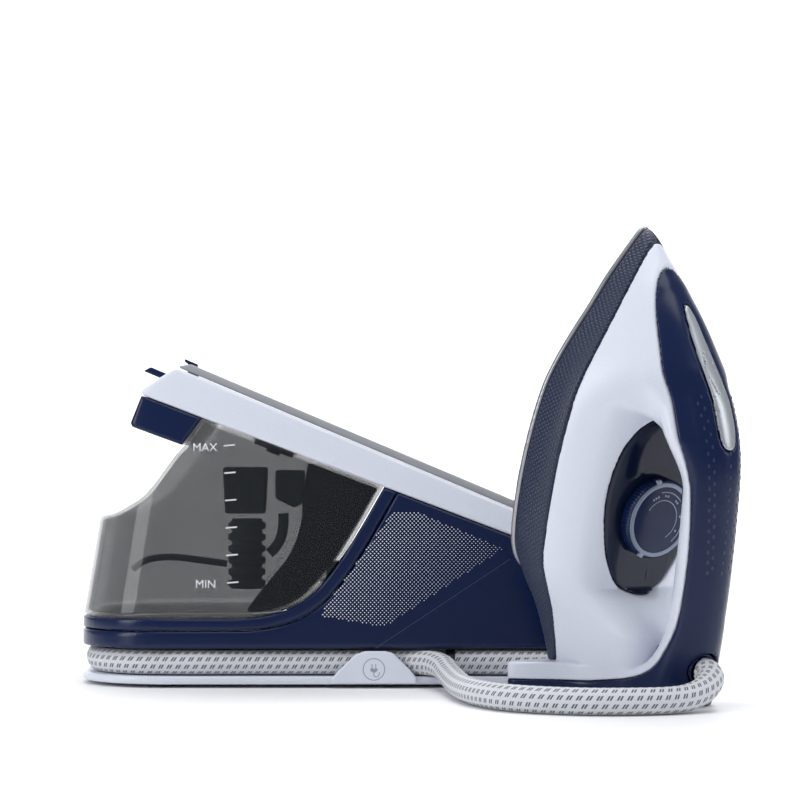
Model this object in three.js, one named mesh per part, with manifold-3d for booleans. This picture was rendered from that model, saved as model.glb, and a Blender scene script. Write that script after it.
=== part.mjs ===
// Steam generator iron: a base station with a removable water tank, an iron that stands on its heel
// beside it, and the woven steam hose that joins them.
// Millimetres, +Z up, floor at z = 0, the origin under the middle of the base and iron together.
import * as THREE from 'three';
import { mergeVertices } from 'three/addons/utils/BufferGeometryUtils.js';
import Module from 'manifold-3d';

const wasm = await Module();
wasm.setup();

// ---------------------------------------------------------------- driving dimensions
const GAP = 0.3; // clearance between pieces that touch
const WALL = 2.5; // moulded wall thickness
const BIG = 400; // longer than any piece, for cutters
const FACET_TOLERANCE = 0.1; // cut surfaces keep their form within this distance

// Base station. Its own x runs from just inside its left end to its right end, y is 0 on its middle line.
const BASE_LEFT = -6.5;
const BASE_LENGTH = 385;
const BASE_HALF_WIDTH = 107.5;
const BASE_CORNER = 60;
const BASE_DRAFT = 0.00054; // share of the width lost per mm of height
const BASE_PLACE = [-204, 80.8, 0];
const FOOT_RADIUS = 6;
const FOOT_HEIGHT = 2;
const FOOT_X = [49, 197, 340];
const FOOT_Y = 88;
const TRAY_BOTTOM = FOOT_HEIGHT + GAP;
const TRAY_TOP = 7.7;
const GROOVE_DEPTH = 20.5; // from the tray's edge to the wall behind the hose
const GROOVE_TOP = 25.2;
const HOUSING_BOTTOM = GROOVE_TOP + GAP;
const BAY_FLOOR = 37;
const REST_LEFT = 38.6;
const REST_UNDERSIDE = 189.2; // height of the rest's underside at its left end
const REST_SLOPE = 0.379; // fall of the underside per mm
const REST_TOP_SLOPE = 0.421;
const REST_TOP_X = 60;
const REST_TOP = 207;
const MAT_THICKNESS = 5;
const MAT_MARGIN = 8;

// Steam hose.
const HOSE_RADIUS = 8;
const HOSE_INSET = 10.5; // hose middle line to the tray's edge
const HOSE_HEIGHT = 16.4; // hose middle line in the groove
const CLIP_THICKNESS = 2;
const HOSE_GLAND_X = 240;

// Iron. Its own x runs from heel to tip, y is its width, z is the height over the sole.
const IRON_PLACE = [117.7, -71.7, 82.67];
const IRON_YAW = THREE.MathUtils.degToRad(54); // handle direction, from +X towards -Y
const IRON_LEAN = THREE.MathUtils.degToRad(16); // the tip leans to the handle side
const HEEL_REACH = 86; // from the iron's origin back to the heel plane, along the sole
const SOLE_THICKNESS = 4;
const DECK_HEIGHT = 57;
const BODY_DOME = 66; // height at which the lower body's sides would close
const HANDLE_RADIUS = 17;
const HANDLE_DROP = 16; // handle middle line below its back
const HEEL_PLATE = 12; // thickness of the plate that the iron stands on
const FOOT_RIBBON = 11; // thickness of the white rim over it

// Temperature dial.
const DIAL_X = 49.5;
const DIAL_RADIUS = 25.4;
const DIAL_HEIGHT = 8;

// ---------------------------------------------------------------- colours and materials
const paint = (color, roughness, metalness = 0) =>
  new THREE.MeshStandardMaterial({ color, roughness, metalness });
const WHITE = () => paint('#e8ebf4', 0.3);
const NAVY = () => paint('#14224c', 0.25);
const DARK_NAVY = () => paint('#0c142c', 0.2);
const MAT_GREY = () => paint('#9a9da2', 0.8);
const SMOKE = () => paint('#55585c', 0.15);
const BLACK = () => paint('#202226', 0.5);
const RUBBER = () => paint('#5a5d62', 0.9);
const SILVER = () => paint('#a9acb0', 0.35, 0.6);
const STEEL = () => paint('#b9bcc0', 0.3, 0.9);
const ALUMINIUM = () => paint('#a3a6aa', 0.45, 0.9);
const BRASS = () => paint('#b89a55', 0.4, 0.9);
const WOVEN = () => paint('#dfe1e6', 0.9);
const GREEN = () => paint('#2d5b3a', 0.6);

// ---------------------------------------------------------------- shape helpers
const point = (x, y) => new THREE.Vector2(x, y);
const points = (pairs) => pairs.map(([x, y]) => point(x, y));
const outline = (pairs) => new THREE.Shape(points(pairs));
const smooth = (pairs, count) => new THREE.SplineCurve(points(pairs)).getPoints(count);

// A closed solid from a geometry with its shared corners joined.
function solidOf(geometry) {
  const bare = new THREE.BufferGeometry();
  const flat = geometry.index ? geometry.toNonIndexed() : geometry;
  bare.setAttribute('position', flat.attributes.position.clone());
  const merged = mergeVertices(bare, 1e-4);
  return new wasm.Manifold(new wasm.Mesh({
    numProp: 3,
    vertProperties: new Float32Array(merged.attributes.position.array),
    triVerts: new Uint32Array(merged.index.array),
  }));
}

// The biggest body of a cut, without the slivers that a cut can leave.
const largest = (solid) => solid.decompose()
  .reduce((best, piece) => (piece.volume() > best.volume() ? piece : best));

function geometryOf(solid) {
  const mesh = largest(solid.simplify(FACET_TOLERANCE)).getMesh();
  const geometry = new THREE.BufferGeometry();
  geometry.setAttribute('position', new THREE.BufferAttribute(mesh.vertProperties, 3));
  geometry.setIndex(new THREE.BufferAttribute(mesh.triVerts, 1));
  geometry.computeVertexNormals();
  return geometry;
}

// A plan shape (x, y) raised from one height to another.
function raised(shape, bottom, top, steps = 1) {
  const geometry = new THREE.ExtrudeGeometry(shape, {
    depth: top - bottom, steps, bevelEnabled: false, curveSegments: 7,
  });
  return geometry.translate(0, 0, bottom);
}

// A side shape (x, z) drawn across the width, from -half to +half.
function across(shape, half) {
  const geometry = new THREE.ExtrudeGeometry(shape, {
    depth: 2 * half, bevelEnabled: false, curveSegments: 10,
  });
  return geometry.rotateX(Math.PI / 2).translate(0, half, 0);
}

function cylinderAlong(axis, radius, length, [x, y, z], sides = 24) {
  const geometry = new THREE.CylinderGeometry(radius, radius, length, sides);
  if (axis === 'x') geometry.rotateZ(Math.PI / 2);
  if (axis === 'z') geometry.rotateX(Math.PI / 2);
  return geometry.translate(x, y, z);
}

function block(width, depth, height, [x, y, z]) {
  return new THREE.BoxGeometry(width, depth, height).translate(x, y, z);
}

// A block as wide as any cutter, from its two ends along x and its lower and upper height.
const outlineBlock = ([left, right], [bottom, top]) =>
  block(right - left, BIG, top - bottom, [(left + right) / 2, 0, (bottom + top) / 2]);

// The same outline moved inwards (or outwards, with a negative distance).
function inset(corners, distance) {
  const ring = corners.filter((corner, i) => corner.distanceTo(corners.at(i - 1)) > 1e-6);
  const turn = Math.sign(THREE.ShapeUtils.area(ring));
  return ring.map((corner, i) => {
    const before = corner.clone().sub(ring.at(i - 1)).normalize();
    const after = ring[(i + 1) % ring.length].clone().sub(corner).normalize();
    const normal = before.clone().add(after).rotateAround(point(0, 0), turn * Math.PI / 2).normalize();
    const spread = Math.max(0.4, Math.sqrt((1 + before.dot(after)) / 2));
    return corner.clone().addScaledVector(normal, distance / spread);
  });
}

const insetShape = (corners, distance) =>
  new THREE.Shape(distance === 0 ? corners : inset(corners, distance));

// A round section swept along a smooth curve through the given places.
function tube(places, radius, steps, sides = 8) {
  const path = new THREE.CatmullRomCurve3(places.map((place) => new THREE.Vector3(...place)),
    false, 'centripetal');
  const ring = Array.from({ length: sides }, (_, i) => {
    const angle = (2 * Math.PI * i) / sides;
    return point(radius * Math.cos(angle), radius * Math.sin(angle));
  });
  return new THREE.ExtrudeGeometry(new THREE.Shape(ring), { steps, extrudePath: path });
}

// ---------------------------------------------------------------- base station
function baseOutline(margin, corner = BASE_CORNER - margin) {
  const left = BASE_LEFT + margin;
  const right = BASE_LENGTH - margin;
  const half = BASE_HALF_WIDTH - margin;
  const shape = new THREE.Shape();
  shape.absarc(right - corner, -half + corner, corner, -Math.PI / 2, 0);
  shape.absarc(right - corner, half - corner, corner, 0, Math.PI / 2);
  shape.absarc(left + corner, half - corner, corner, Math.PI / 2, Math.PI);
  shape.absarc(left + corner, -half + corner, corner, Math.PI, 1.5 * Math.PI);
  return shape;
}

// The base's outer form: the rounded outline, a little narrower towards the top.
function baseForm(margin) {
  const geometry = raised(baseOutline(margin), 0, 230);
  const place = geometry.attributes.position;
  for (let i = 0; i < place.count; i += 1) {
    place.setY(i, place.getY(i) * (1 - BASE_DRAFT * place.getZ(i)));
  }
  return solidOf(geometry);
}

const baseSlice = (shape, margin = 0) => solidOf(across(shape, BIG)).intersect(baseForm(margin));

const restUnderside = (x) => REST_UNDERSIDE - REST_SLOPE * (x - REST_LEFT);
const restTop = (x) => REST_TOP - REST_TOP_SLOPE * (x - REST_TOP_X);

// The curve between the tank's lower right edge and the rest; offset 0 is the tank's wall.
function bayCurve(offset) {
  const top = 196 + 1.1 * offset;
  return new THREE.CubicBezierCurve(
    point(100, 45.5 - offset), point(150 + 0.85 * offset, 46.5 - offset),
    point(160 + offset, 68 - 0.6 * offset), point(top, restUnderside(top) - GAP)).getPoints(14);
}

const COLLAR_WIDTH = 8.2; // navy frame round the tank, seen from the side

const foot = () => cylinderAlong('z', FOOT_RADIUS, FOOT_HEIGHT, [0, 0, FOOT_HEIGHT / 2]);

// Bottom tray with the upright wall that the hose is wound round.
function tray() {
  const plate = solidOf(raised(baseOutline(0), TRAY_BOTTOM, TRAY_TOP));
  const core = solidOf(raised(baseOutline(GROOVE_DEPTH), TRAY_TOP - 1, GROOVE_TOP));
  const hollow = solidOf(raised(baseOutline(GROOVE_DEPTH + WALL), TRAY_TOP, BIG));
  return geometryOf(plate.add(core).subtract(hollow));
}

function hoseClip() {
  const face = outline([[162, 3], [218, 3], [218, 7.2], [213, 13], [203, 23], [198, 24.6],
    [184, 24.6], [178, 22.5], [167, 12], [162, 6.5]]);
  const front = -BASE_HALF_WIDTH - GAP - CLIP_THICKNESS / 2;
  return across(face, CLIP_THICKNESS / 2).translate(0, front, 0);
}

const SPIGOT_HEIGHT = 72;
const SPIGOT_RADIUS = 7;
const spigotHole = (clearance) =>
  solidOf(cylinderAlong('x', SPIGOT_RADIUS + clearance, 80, [180, 0, SPIGOT_HEIGHT]));

const PANEL = { height: 45, halfWidth: 34, halfHeight: 11, thickness: 3 };
const MAINS_GLAND = { x: 330, height: 42, radius: 6 };

function housing() {
  const bay = bayCurve(COLLAR_WIDTH + GAP).reverse();
  const rightTop = restUnderside(BASE_LENGTH) - GAP;
  const outer = new THREE.Shape([...points([[-15, HOUSING_BOTTOM], [BASE_LENGTH + 5, HOUSING_BOTTOM],
    [BASE_LENGTH + 5, rightTop - 2]]), ...bay, point(-15, BAY_FLOOR - GAP)]);
  const bayInside = bayCurve(COLLAR_WIDTH + GAP + WALL).reverse();
  const hollow = new THREE.Shape([...points([[-15, -5], [BASE_LENGTH + 5, -5], [BASE_LENGTH + 5, 240],
    [bayInside[0].x, 240]]), ...bayInside, point(-15, BAY_FLOOR - GAP - WALL)]);
  const panelHole = block(20, 2 * PANEL.halfWidth + 2 * GAP, 2 * PANEL.halfHeight + 2 * GAP,
    [BASE_LENGTH, 0, PANEL.height]);
  const glandHole = cylinderAlong('y', MAINS_GLAND.radius + GAP, 20,
    [MAINS_GLAND.x, BASE_HALF_WIDTH, MAINS_GLAND.height]);
  return geometryOf(baseSlice(outer).subtract(baseSlice(hollow, WALL)).subtract(spigotHole(1))
    .subtract(solidOf(panelHole)).subtract(solidOf(glandHole)));
}

const LOCK = { halfWidth: 12, thickness: 5, depth: 4.4, start: 30, end: 96, hookStart: 58, hookEnd: 67 };
const LOCK_TRAVEL = 8;
const lockTop = (x) => restTop(x) - LOCK.depth;

function lockOutline(grow, travel) {
  const right = LOCK.end + travel;
  return outline([[LOCK.start - grow + 5, lockTop(LOCK.start - grow + 5) + grow],
    [right + grow, lockTop(right + grow) + grow],
    [right + grow, lockTop(right + grow) - LOCK.thickness - grow],
    [LOCK.start - grow, lockTop(LOCK.start - grow) - LOCK.thickness - grow]]);
}

const lockBar = (grow, travel) => across(lockOutline(grow, travel), LOCK.halfWidth + grow);

// Slot through the rest and its mat for the hook of the lock.
const hookSlot = () => block(LOCK.hookEnd - LOCK.hookStart + LOCK_TRAVEL + 2, 13, 40,
  [(LOCK.hookStart + LOCK.hookEnd + LOCK_TRAVEL) / 2, 0, 212]);

function restFrame() {
  const left = [[REST_LEFT, REST_UNDERSIDE], [REST_LEFT, REST_UNDERSIDE + 3]];
  const right = BASE_LENGTH + 5;
  const outer = outline([...left, [REST_TOP_X - 1.5, REST_TOP - 1.6],
    [REST_TOP_X + 1.5, restTop(REST_TOP_X + 1.5)], [right, restTop(right)], [right, restUnderside(right)]]);
  const inner = outline([[REST_LEFT + 4, 150], [REST_LEFT + 4, REST_UNDERSIDE],
    [REST_TOP_X + 1, REST_TOP - 4.5], [right, restTop(right) - 3], [right, 20]]);
  const shell = baseSlice(outer).subtract(baseSlice(inner, WALL + 0.5));
  return geometryOf(shell.subtract(solidOf(lockBar(0.6, 40))).subtract(solidOf(hookSlot())));
}

function restMat() {
  const left = REST_TOP_X + 7;
  const right = BASE_LENGTH - 14;
  const slice = outline([[left, restTop(left) + GAP], [right, restTop(right) + GAP],
    [right, restTop(right) + MAT_THICKNESS], [left, restTop(left) + MAT_THICKNESS]]);
  return geometryOf(baseSlice(slice, MAT_MARGIN).subtract(solidOf(hookSlot())));
}

function lockSlider() {
  const hook = across(outline([[LOCK.hookStart + 2, 199], [LOCK.hookStart + 2, 213], [LOCK.hookStart, 214],
    [LOCK.hookStart, 216.6], [LOCK.hookEnd, 212.6], [LOCK.hookEnd, 198]]), 5.5);
  return geometryOf(solidOf(lockBar(0, 0)).add(solidOf(hook)));
}

function controlPanel() {
  const plate = block(PANEL.thickness, 2 * PANEL.halfWidth, 2 * PANEL.halfHeight,
    [BASE_LENGTH - PANEL.thickness / 2, 0, PANEL.height]);
  const holes = [-16, 16].map((y) => solidOf(cylinderAlong('x', 8.4, 20, [BASE_LENGTH, y, PANEL.height])));
  return geometryOf(solidOf(plate).subtract(holes[0]).subtract(holes[1]));
}

function roundButton() {
  const profile = points([[0, -7], [8, -7], [8, 1.6], [7.2, 2.4], [0, 2.4]]);
  return new THREE.LatheGeometry(profile, 24).rotateZ(-Math.PI / 2);
}

function hoseGland() {
  const y = -(BASE_HALF_WIDTH - HOSE_INSET);
  const sleeve = solidOf(cylinderAlong('x', 8.2, 6, [HOSE_GLAND_X, y, HOSE_HEIGHT]));
  const elbow = solidOf(cylinderAlong('y', 2.7, 10, [HOSE_GLAND_X, y + 3.3, HOSE_HEIGHT]));
  return geometryOf(sleeve.add(elbow));
}

function mainsGland() {
  const profile = points([[0, 0], [8, 0], [8, 2.5], [MAINS_GLAND.radius, 2.6], [MAINS_GLAND.radius, 9],
    [4, 12], [2.6, 12], [2.6, 4], [0, 4]]);
  return new THREE.LatheGeometry(profile, 20);
}

// ---------------------------------------------------------------- inside the base station
const BOILER_PLACE = [262, 35];
const BOILER_HEIGHT = 70;

function boiler() {
  const profile = points([[0, 0], [34, 0], [39, 3], [40, 8], [40, 60], [37, 66], [30, 69],
    [0, BOILER_HEIGHT]]);
  return new THREE.LatheGeometry(profile, 24).rotateX(Math.PI / 2);
}

const FEED_TUBE_RADIUS = 3.5;

const boilerThermostat = () => cylinderAlong('z', 8, 6, [0, 0, 3], 20);

function steamValve() {
  const body = solidOf(block(26, 24, 26, [0, 0, 13]));
  const coil = solidOf(cylinderAlong('z', 10, 22, [0, 0, 36]));
  return geometryOf(body.add(coil));
}

function waterPump() {
  const coil = solidOf(block(30, 34, 32, [0, 0, 16]));
  const core = solidOf(cylinderAlong('x', 9, 62, [0, 0, 16]));
  return geometryOf(coil.add(core));
}

function controlBoard() {
  const board = solidOf(block(46, 64, 1.6, [0, 0, 6]));
  const posts = [[-19, -28], [19, -28], [-19, 28], [19, 28]]
    .map(([x, y]) => solidOf(cylinderAlong('z', 3, 6, [x, y, 3], 12)));
  const relay = solidOf(block(16, 20, 15, [-8, -18, 14]));
  const choke = solidOf(block(22, 22, 19, [6, 16, 16]));
  return geometryOf([relay, choke, ...posts].reduce((whole, piece) => whole.add(piece), board));
}

const feedTube = () => tube([[213, 0, SPIGOT_HEIGHT], [218, 0, SPIGOT_HEIGHT], [227, -6, 68],
  [228, -22, 58], [226, -40, 50], [240, -48, 45], [262, -48, 44.5]], FEED_TUBE_RADIUS, 14);

const tankSocket = () => cylinderAlong('x', 11, 14, [205.4, 0, SPIGOT_HEIGHT]);

// ---------------------------------------------------------------- water tank
function tankCorners() {
  const neck = smooth([[8, 112.2], [16, 113.6], [24, 117], [36, 124], [44, 132], [52, 142.5], [59, 152],
    [65, 158.2]], 16);
  const curve = bayCurve(0).reverse();
  const rightTop = point(77.6, restUnderside(77.6) - GAP);
  return [...points([[-1.8, 45.5], [-3.6, 47.5], [5.6, 104], [6.4, 109.5]]), ...neck, rightTop, ...curve];
}

const FILLER = { x: 118, y: 50, radius: 15 };

function fillerPlug(radius, depth) {
  const angle = Math.atan(REST_SLOPE);
  const top = restUnderside(FILLER.x) - GAP;
  return new THREE.CylinderGeometry(radius, radius, depth, 20).rotateX(Math.PI / 2)
    .rotateY(angle).translate(FILLER.x, FILLER.y, top);
}

function tankShell() {
  const corners = tankCorners();
  const outer = baseSlice(new THREE.Shape(corners), GAP);
  const inner = baseSlice(insetShape(corners, WALL), WALL + GAP);
  return geometryOf(outer.subtract(inner).subtract(solidOf(fillerPlug(FILLER.radius, 12)))
    .subtract(spigotHole(GAP)));
}

function tankStopper() {
  const plug = solidOf(fillerPlug(FILLER.radius - GAP, 7));
  const grip = solidOf(fillerPlug(5, 11));
  return geometryOf(plug.add(grip));
}

// Navy frame along the bottom and the right edge of the tank.
function tankCollar() {
  const inside = bayCurve(GAP);
  const outside = bayCurve(COLLAR_WIDTH).reverse();
  const shape = new THREE.Shape([point(-15, 45.2), ...inside, ...outside, point(-15, BAY_FLOOR)]);
  const middle = baseForm(COLLAR_WIDTH).intersect(solidOf(block(BIG, BIG, BIG, [-BIG / 2 + 180, 0, 0])));
  return geometryOf(baseSlice(shape, GAP / 2).subtract(middle));
}

function tankGrip() {
  const right = 76.6;
  return geometryOf(baseSlice(outline([[REST_LEFT, restUnderside(REST_LEFT) - GAP],
    [right, restUnderside(right) - GAP], [64.2, 158.6], [33.5, 170.2], [32, 172.5]])));
}

function tankSpigot() {
  return cylinderAlong('x', SPIGOT_RADIUS, 42, [177, 0, SPIGOT_HEIGHT]);
}

// The dark chamber at the tank's inner end, with the tube to the base station in it.
function tankPartition() {
  const clear = WALL + 2 * GAP;
  const form = (margin) => {
    const edge = smooth([[147, 152], [143, 124], [142, 108], [135, 88], [122, 71], [112, 58.5],
      [106, 50]], 20).map((corner) => point(corner.x + margin, corner.y));
    const wall = bayCurve(-clear - margin).filter((corner) => corner.x > edge.at(-1).x + 4);
    const below = outline([[90, 0], [240, 0], [240, restUnderside(240) - clear - margin],
      [90, restUnderside(90) - clear - margin]]);
    return baseSlice(new THREE.Shape([...edge, ...wall]), clear + margin)
      .intersect(solidOf(across(below, BIG)));
  };
  return geometryOf(form(0).subtract(form(2)).subtract(spigotHole(GAP)));
}

const COLUMN_X = 101;

function filterCartridge() {
  const ribs = Array.from({ length: 6 }, (_, i) => [[13, 63 + 8 * i], [13, 67 + 8 * i],
    [10.5, 68 + 8 * i], [10.5, 70 + 8 * i]]).flat();
  return new THREE.LatheGeometry(points([[0, 60], [10.5, 60], ...ribs, [0, 111]]), 12)
    .rotateX(Math.PI / 2).translate(COLUMN_X, 0, 0);
}

const cartridgeCap = () => block(31, 30, 32, [COLUMN_X - 1, 0, 128]);
const outletBlock = () => block(20, 26, 30, [131, 0, 127]);

const INTAKE_HOSE_RADIUS = 2.4;
const SUCTION_TUBE_RADIUS = 3.6;

// From the water near the tank's left end into the filter.
const intakeHose = () => tube([[22, 0, 73], [27, 0, 77.4], [36, 0, 80.8], [47, 0, 81.8], [66, 0, 80],
  [87.2, 0, 77]], INTAKE_HOSE_RADIUS, 12);

const suctionTube = () => tube([[126, 0, 111.4], [126, 0, 103], [124, 0, 94], [119.8, 0, 87.5],
  [117.4, 0, 85.2]], SUCTION_TUBE_RADIUS, 12);

// ---------------------------------------------------------------- iron: outer form
const RIDGE = [[223, 4], [218, 13], [204, 27.5], [190, 43.5], [173, 63], [150, 83], [127, 100.6],
  [109, 112.7], [90, 119], [60, 124], [24, 127.6], [-5, 128.6], [-29, 128.4], [-60, 129]];
const SOLE_EDGE = [[220.5, 0], [219, 3], [210, 9.4], [189, 22.8], [170, 32.8], [154, 41.8], [136, 51],
  [117, 58], [90, 62.4], [60, 64.2], [30, 62.8], [12, 58.8], [1, 50], [-5, 35], [-7, 0]];
const BODY_EDGE = [[221, 0], [219.5, 3], [210.5, 9.8], [189, 23.3], [170, 33.3], [154, 42.3], [136, 51.5],
  [117, 58.5], [90, 62.9], [60, 64.6], [30, 63.2], [12, 59.3], [-5, 51], [-25, 42], [-45, 37], [-95, 36]];
const DROP_EDGE = [[204, 0], [202, 5], [190, 13.5], [175, 18.5], [150, 21.5], [125, 19.5], [105, 18.2],
  [60, 17.4], [0, 17.4], [-70, 17.4]];
const DECK_EDGE = [[114, 0], [112, 9], [104, 21], [85, 29.5], [60, 32.5], [38, 30], [16, 19], [3, 7],
  [1, 0]];

const ridgeHeight = (x) => {
  const next = RIDGE.findIndex(([ridgeX]) => ridgeX <= x);
  if (next <= 0) return next === 0 ? RIDGE[0][1] : RIDGE.at(-1)[1];
  const [[x0, z0], [x1, z1]] = [RIDGE[next - 1], RIDGE[next]];
  return z0 + ((z1 - z0) * (x - x0)) / (x1 - x0);
};

const bothHalves = (half) => [...half,
  ...half.filter((corner) => corner.y > 0.01).reverse().map((corner) => point(corner.x, -corner.y))];

// A closed plan outline from the points of one half, tip to heel.
function mirrored(edge, margin = 0, count = 19) {
  return insetShape(bothHalves(smooth(edge, count)), margin);
}

// A plan outline raised over the sole, its width shrinking with height by the given share.
function domed(shape, bottom, top, steps, share) {
  const geometry = raised(shape, bottom, top, steps);
  const place = geometry.attributes.position;
  for (let i = 0; i < place.count; i += 1) {
    place.setY(i, place.getY(i) * share(place.getX(i), place.getZ(i)));
  }
  return solidOf(geometry);
}

const closing = (height, limit, power) =>
  Math.sqrt(Math.max(0.002, 1 - (Math.max(height, 0) / limit) ** power));

// Everything in front of the heel plane, which the iron stands on.
function aheadOfHeel(rise) {
  const tilt = Math.tan(IRON_LEAN);
  const start = -HEEL_REACH + rise / Math.cos(IRON_LEAN);
  return solidOf(across(outline([[start - 50 * tilt, -50], [300, -50], [300, 200],
    [start + 200 * tilt, 200]]), BIG));
}

// The gap that the fingers go through, between deck and handle.
function handGap(margin) {
  const roof = smooth([[1, 62], [1, 70], [6, 84], [18, 92.5], [40, 94.5], [66, 92.5], [86, 86.5],
    [100, 78], [110, 67], [114, 60]], 14);
  const corners = [...roof, point(115, DECK_HEIGHT), point(3, DECK_HEIGHT)];
  return solidOf(across(insetShape(corners, -margin), BIG));
}

const POST_SHARE = 0.88; // width of the heel post against the sole

// Share of the sole's half-width that is left at a height: a low dome under the hand gap, with a column as
// wide as the grip over it, which swells into the nose in front and into the heel post behind.
function widthShare(x, z, ridge) {
  const nose = THREE.MathUtils.smoothstep(x, 98, 150);
  const post = 1 - THREE.MathUtils.smoothstep(x, -24, 16);
  const middle = Math.max(closing(z, BODY_DOME, 2.6), 0.3);
  return middle * (1 - nose - post) + nose * closing(z, ridge + 2, 1.5)
    + post * POST_SHARE * closing(z, 140, 1.6);
}

function ironForm(margin) {
  const floor = margin > 0 ? -1 : SOLE_THICKNESS + GAP;
  const body = domed(mirrored(BODY_EDGE, margin), floor, 127, 9,
    (x, z) => widthShare(x, z + margin, ridgeHeight(x)));
  const ridge = smooth(RIDGE, 24);
  const under = solidOf(across(insetShape([point(-110, -60), point(222, -60), ...ridge,
    point(-110, 129)], margin), BIG));
  const overGrip = solidOf(outlineBlock([0 - margin, 98 + margin], [76 - margin, 156 - margin]));
  const overDeck = solidOf(outlineBlock([4, 112], [DECK_HEIGHT - margin, DECK_HEIGHT + 12 - margin]));
  return body.intersect(under).subtract(overGrip).subtract(overDeck).subtract(handGap(margin))
    .intersect(aheadOfHeel(HEEL_PLATE + GAP + margin));
}

// The grip: an oval bar under the ridge line, from the nose to the heel.
function gripBar(margin) {
  const centre = smooth([[182, 36], [173, 47], [150, 66], [127, 84], [109, 96], [90, 102.6], [60, 107.8],
    [24, 111.5], [-5, 112.5], [-29, 112.3], [-58, 112.5]], 17);
  const path = new THREE.CatmullRomCurve3(centre.map(({ x, y }) => new THREE.Vector3(x, 0, y)));
  const ring = Array.from({ length: 14 }, (_, i) => {
    const angle = (2 * Math.PI * i) / 14;
    return point((HANDLE_DROP - margin) * Math.cos(angle), (HANDLE_RADIUS - margin) * Math.sin(angle));
  });
  const bar = solidOf(new THREE.ExtrudeGeometry(new THREE.Shape(ring), { steps: 17, extrudePath: path }));
  return bar.intersect(aheadOfHeel(HEEL_PLATE + GAP + Math.max(margin, 0)));
}

// Which part of the form is the navy back: inside the long drop outline and above the given margin.
const dropColumn = (margin) => solidOf(raised(mirrored(DROP_EDGE, margin), 30 + margin, 200));

// ---------------------------------------------------------------- iron: pieces

// Everything under the line where the navy skirt meets the white shell.
function seamSurface(offset) {
  const seam = smooth([[225, 11], [205, 15], [185, 19], [158, 23.5], [131, 27.5], [100, 30.5], [60, 32],
    [22, 31], [0, 28], [-14, 20], [-22, 8], [-24, -10]], 22);
  const shape = new THREE.Shape([...seam, point(-30, -60), point(260, -60)]
    .map((corner) => point(corner.x, corner.y + offset)));
  return solidOf(across(shape, BIG));
}

function soleplate() {
  const steamHoles = [[178, 0], [160, 12], [160, -12], [138, 22], [138, -22], [114, 30], [114, -30], [88, 34],
    [88, -34], [60, 34], [60, -34], [118, 0]];
  const plate = solidOf(raised(mirrored(SOLE_EDGE), 0, SOLE_THICKNESS));
  return geometryOf(steamHoles.reduce((left, [x, y]) =>
    left.subtract(solidOf(cylinderAlong('z', 2, 20, [x, y, 0], 8))), plate));
}

const CHAMBER_TOP = 14;

const smaller = (edge, share) => edge.map(([x, y]) => [95 + (x - 95) * share, y * share]);

const steamChamber = () =>
  raised(mirrored(smaller(SOLE_EDGE, 0.86), 0, 18), SOLE_THICKNESS + GAP, CHAMBER_TOP);
const chamberLid = () =>
  raised(mirrored(smaller(SOLE_EDGE, 0.8), 0, 14), CHAMBER_TOP + GAP, CHAMBER_TOP + 3);

const ELEMENT_HEIGHT = 21.5;
const ELEMENT_RADIUS = 4;

function heatingElement() {
  const places = [[10, 30], [60, 36], [120, 28], [158, 0], [120, -28], [60, -36], [10, -30]];
  return tube(places.map(([x, y]) => [x, y, ELEMENT_HEIGHT]), ELEMENT_RADIUS, 26);
}

const ironShell = () => ironForm(0).subtract(ironForm(WALL));

function skirt() {
  return geometryOf(ironShell().intersect(seamSurface(-GAP)));
}

// Flared foot behind the body, drawn in the heel plane: a runs from the sole side to the handle.
function heelPlan(outerEdge, from, to) {
  const shape = new THREE.Shape(bothHalves(outerEdge));
  const inPlane = new THREE.Vector3(Math.sin(IRON_LEAN), 0, Math.cos(IRON_LEAN));
  const up = new THREE.Vector3(Math.cos(IRON_LEAN), 0, -Math.sin(IRON_LEAN));
  const turn = new THREE.Matrix4().makeBasis(inPlane, new THREE.Vector3(0, -1, 0), up);
  return raised(shape, from, to).applyMatrix4(turn).translate(-HEEL_REACH, 0, 0);
}

const HEEL_EDGE = [[8, 0], [8.3, 36], [10.5, 47], [17, 52.5], [26, 48], [40, 34], [56, 25], [80, 19],
  [104, 17], [114, 14], [120, 9], [122.4, 4], [123, 0]];
const RIBBON_EDGE = [[8, 0], [8.3, 36], [10.5, 47], [17, 52.5], [26, 48], [40, 34], [56, 25], [70, 21],
  [76, 19.5], [78, 0]];

function bodyShell() {
  const ribbon = solidOf(heelPlan(smooth(RIBBON_EDGE, 20), HEEL_PLATE + GAP, HEEL_PLATE + FOOT_RIBBON));
  const inside = solidOf(heelPlan(smooth(RIBBON_EDGE.map(([a, w]) => [a < 9 ? a + 3 : a - 3,
    Math.max(w - 4, 0)]), 20), -5, HEEL_PLATE + FOOT_RIBBON - WALL));
  const besideGrip = solidOf(outlineBlock([60 - BIG, 60], [113, 173]))
    .add(solidOf(outlineBlock([54, 114], [92, 152])));
  const deckHole = solidOf(raised(mirrored(DECK_EDGE, -GAP, 18), DECK_HEIGHT - 6, DECK_HEIGHT + 6));
  const white = ironShell().add(ribbon.subtract(inside)).subtract(ironForm(WALL)).subtract(gripBar(-GAP));
  return geometryOf(white.subtract(seamSurface(0)).subtract(deckHole)
    .subtract(dropColumn(-GAP).intersect(noseTop())).subtract(besideGrip));
}

// The part of the nose above the opening, where the drop outline cuts the white shell.
const noseTop = () => solidOf(block(BIG, BIG, BIG, [BIG / 2 + 114, 0, BIG / 2 + 26]));

function deckPanel() {
  const plate = solidOf(raised(mirrored(DECK_EDGE, 0, 18), DECK_HEIGHT - WALL, DECK_HEIGHT));
  const shaftHole = solidOf(cylinderAlong('z', 5, 20, [DIAL_X, 0, DECK_HEIGHT]));
  return geometryOf(plate.subtract(shaftHole));
}

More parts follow.
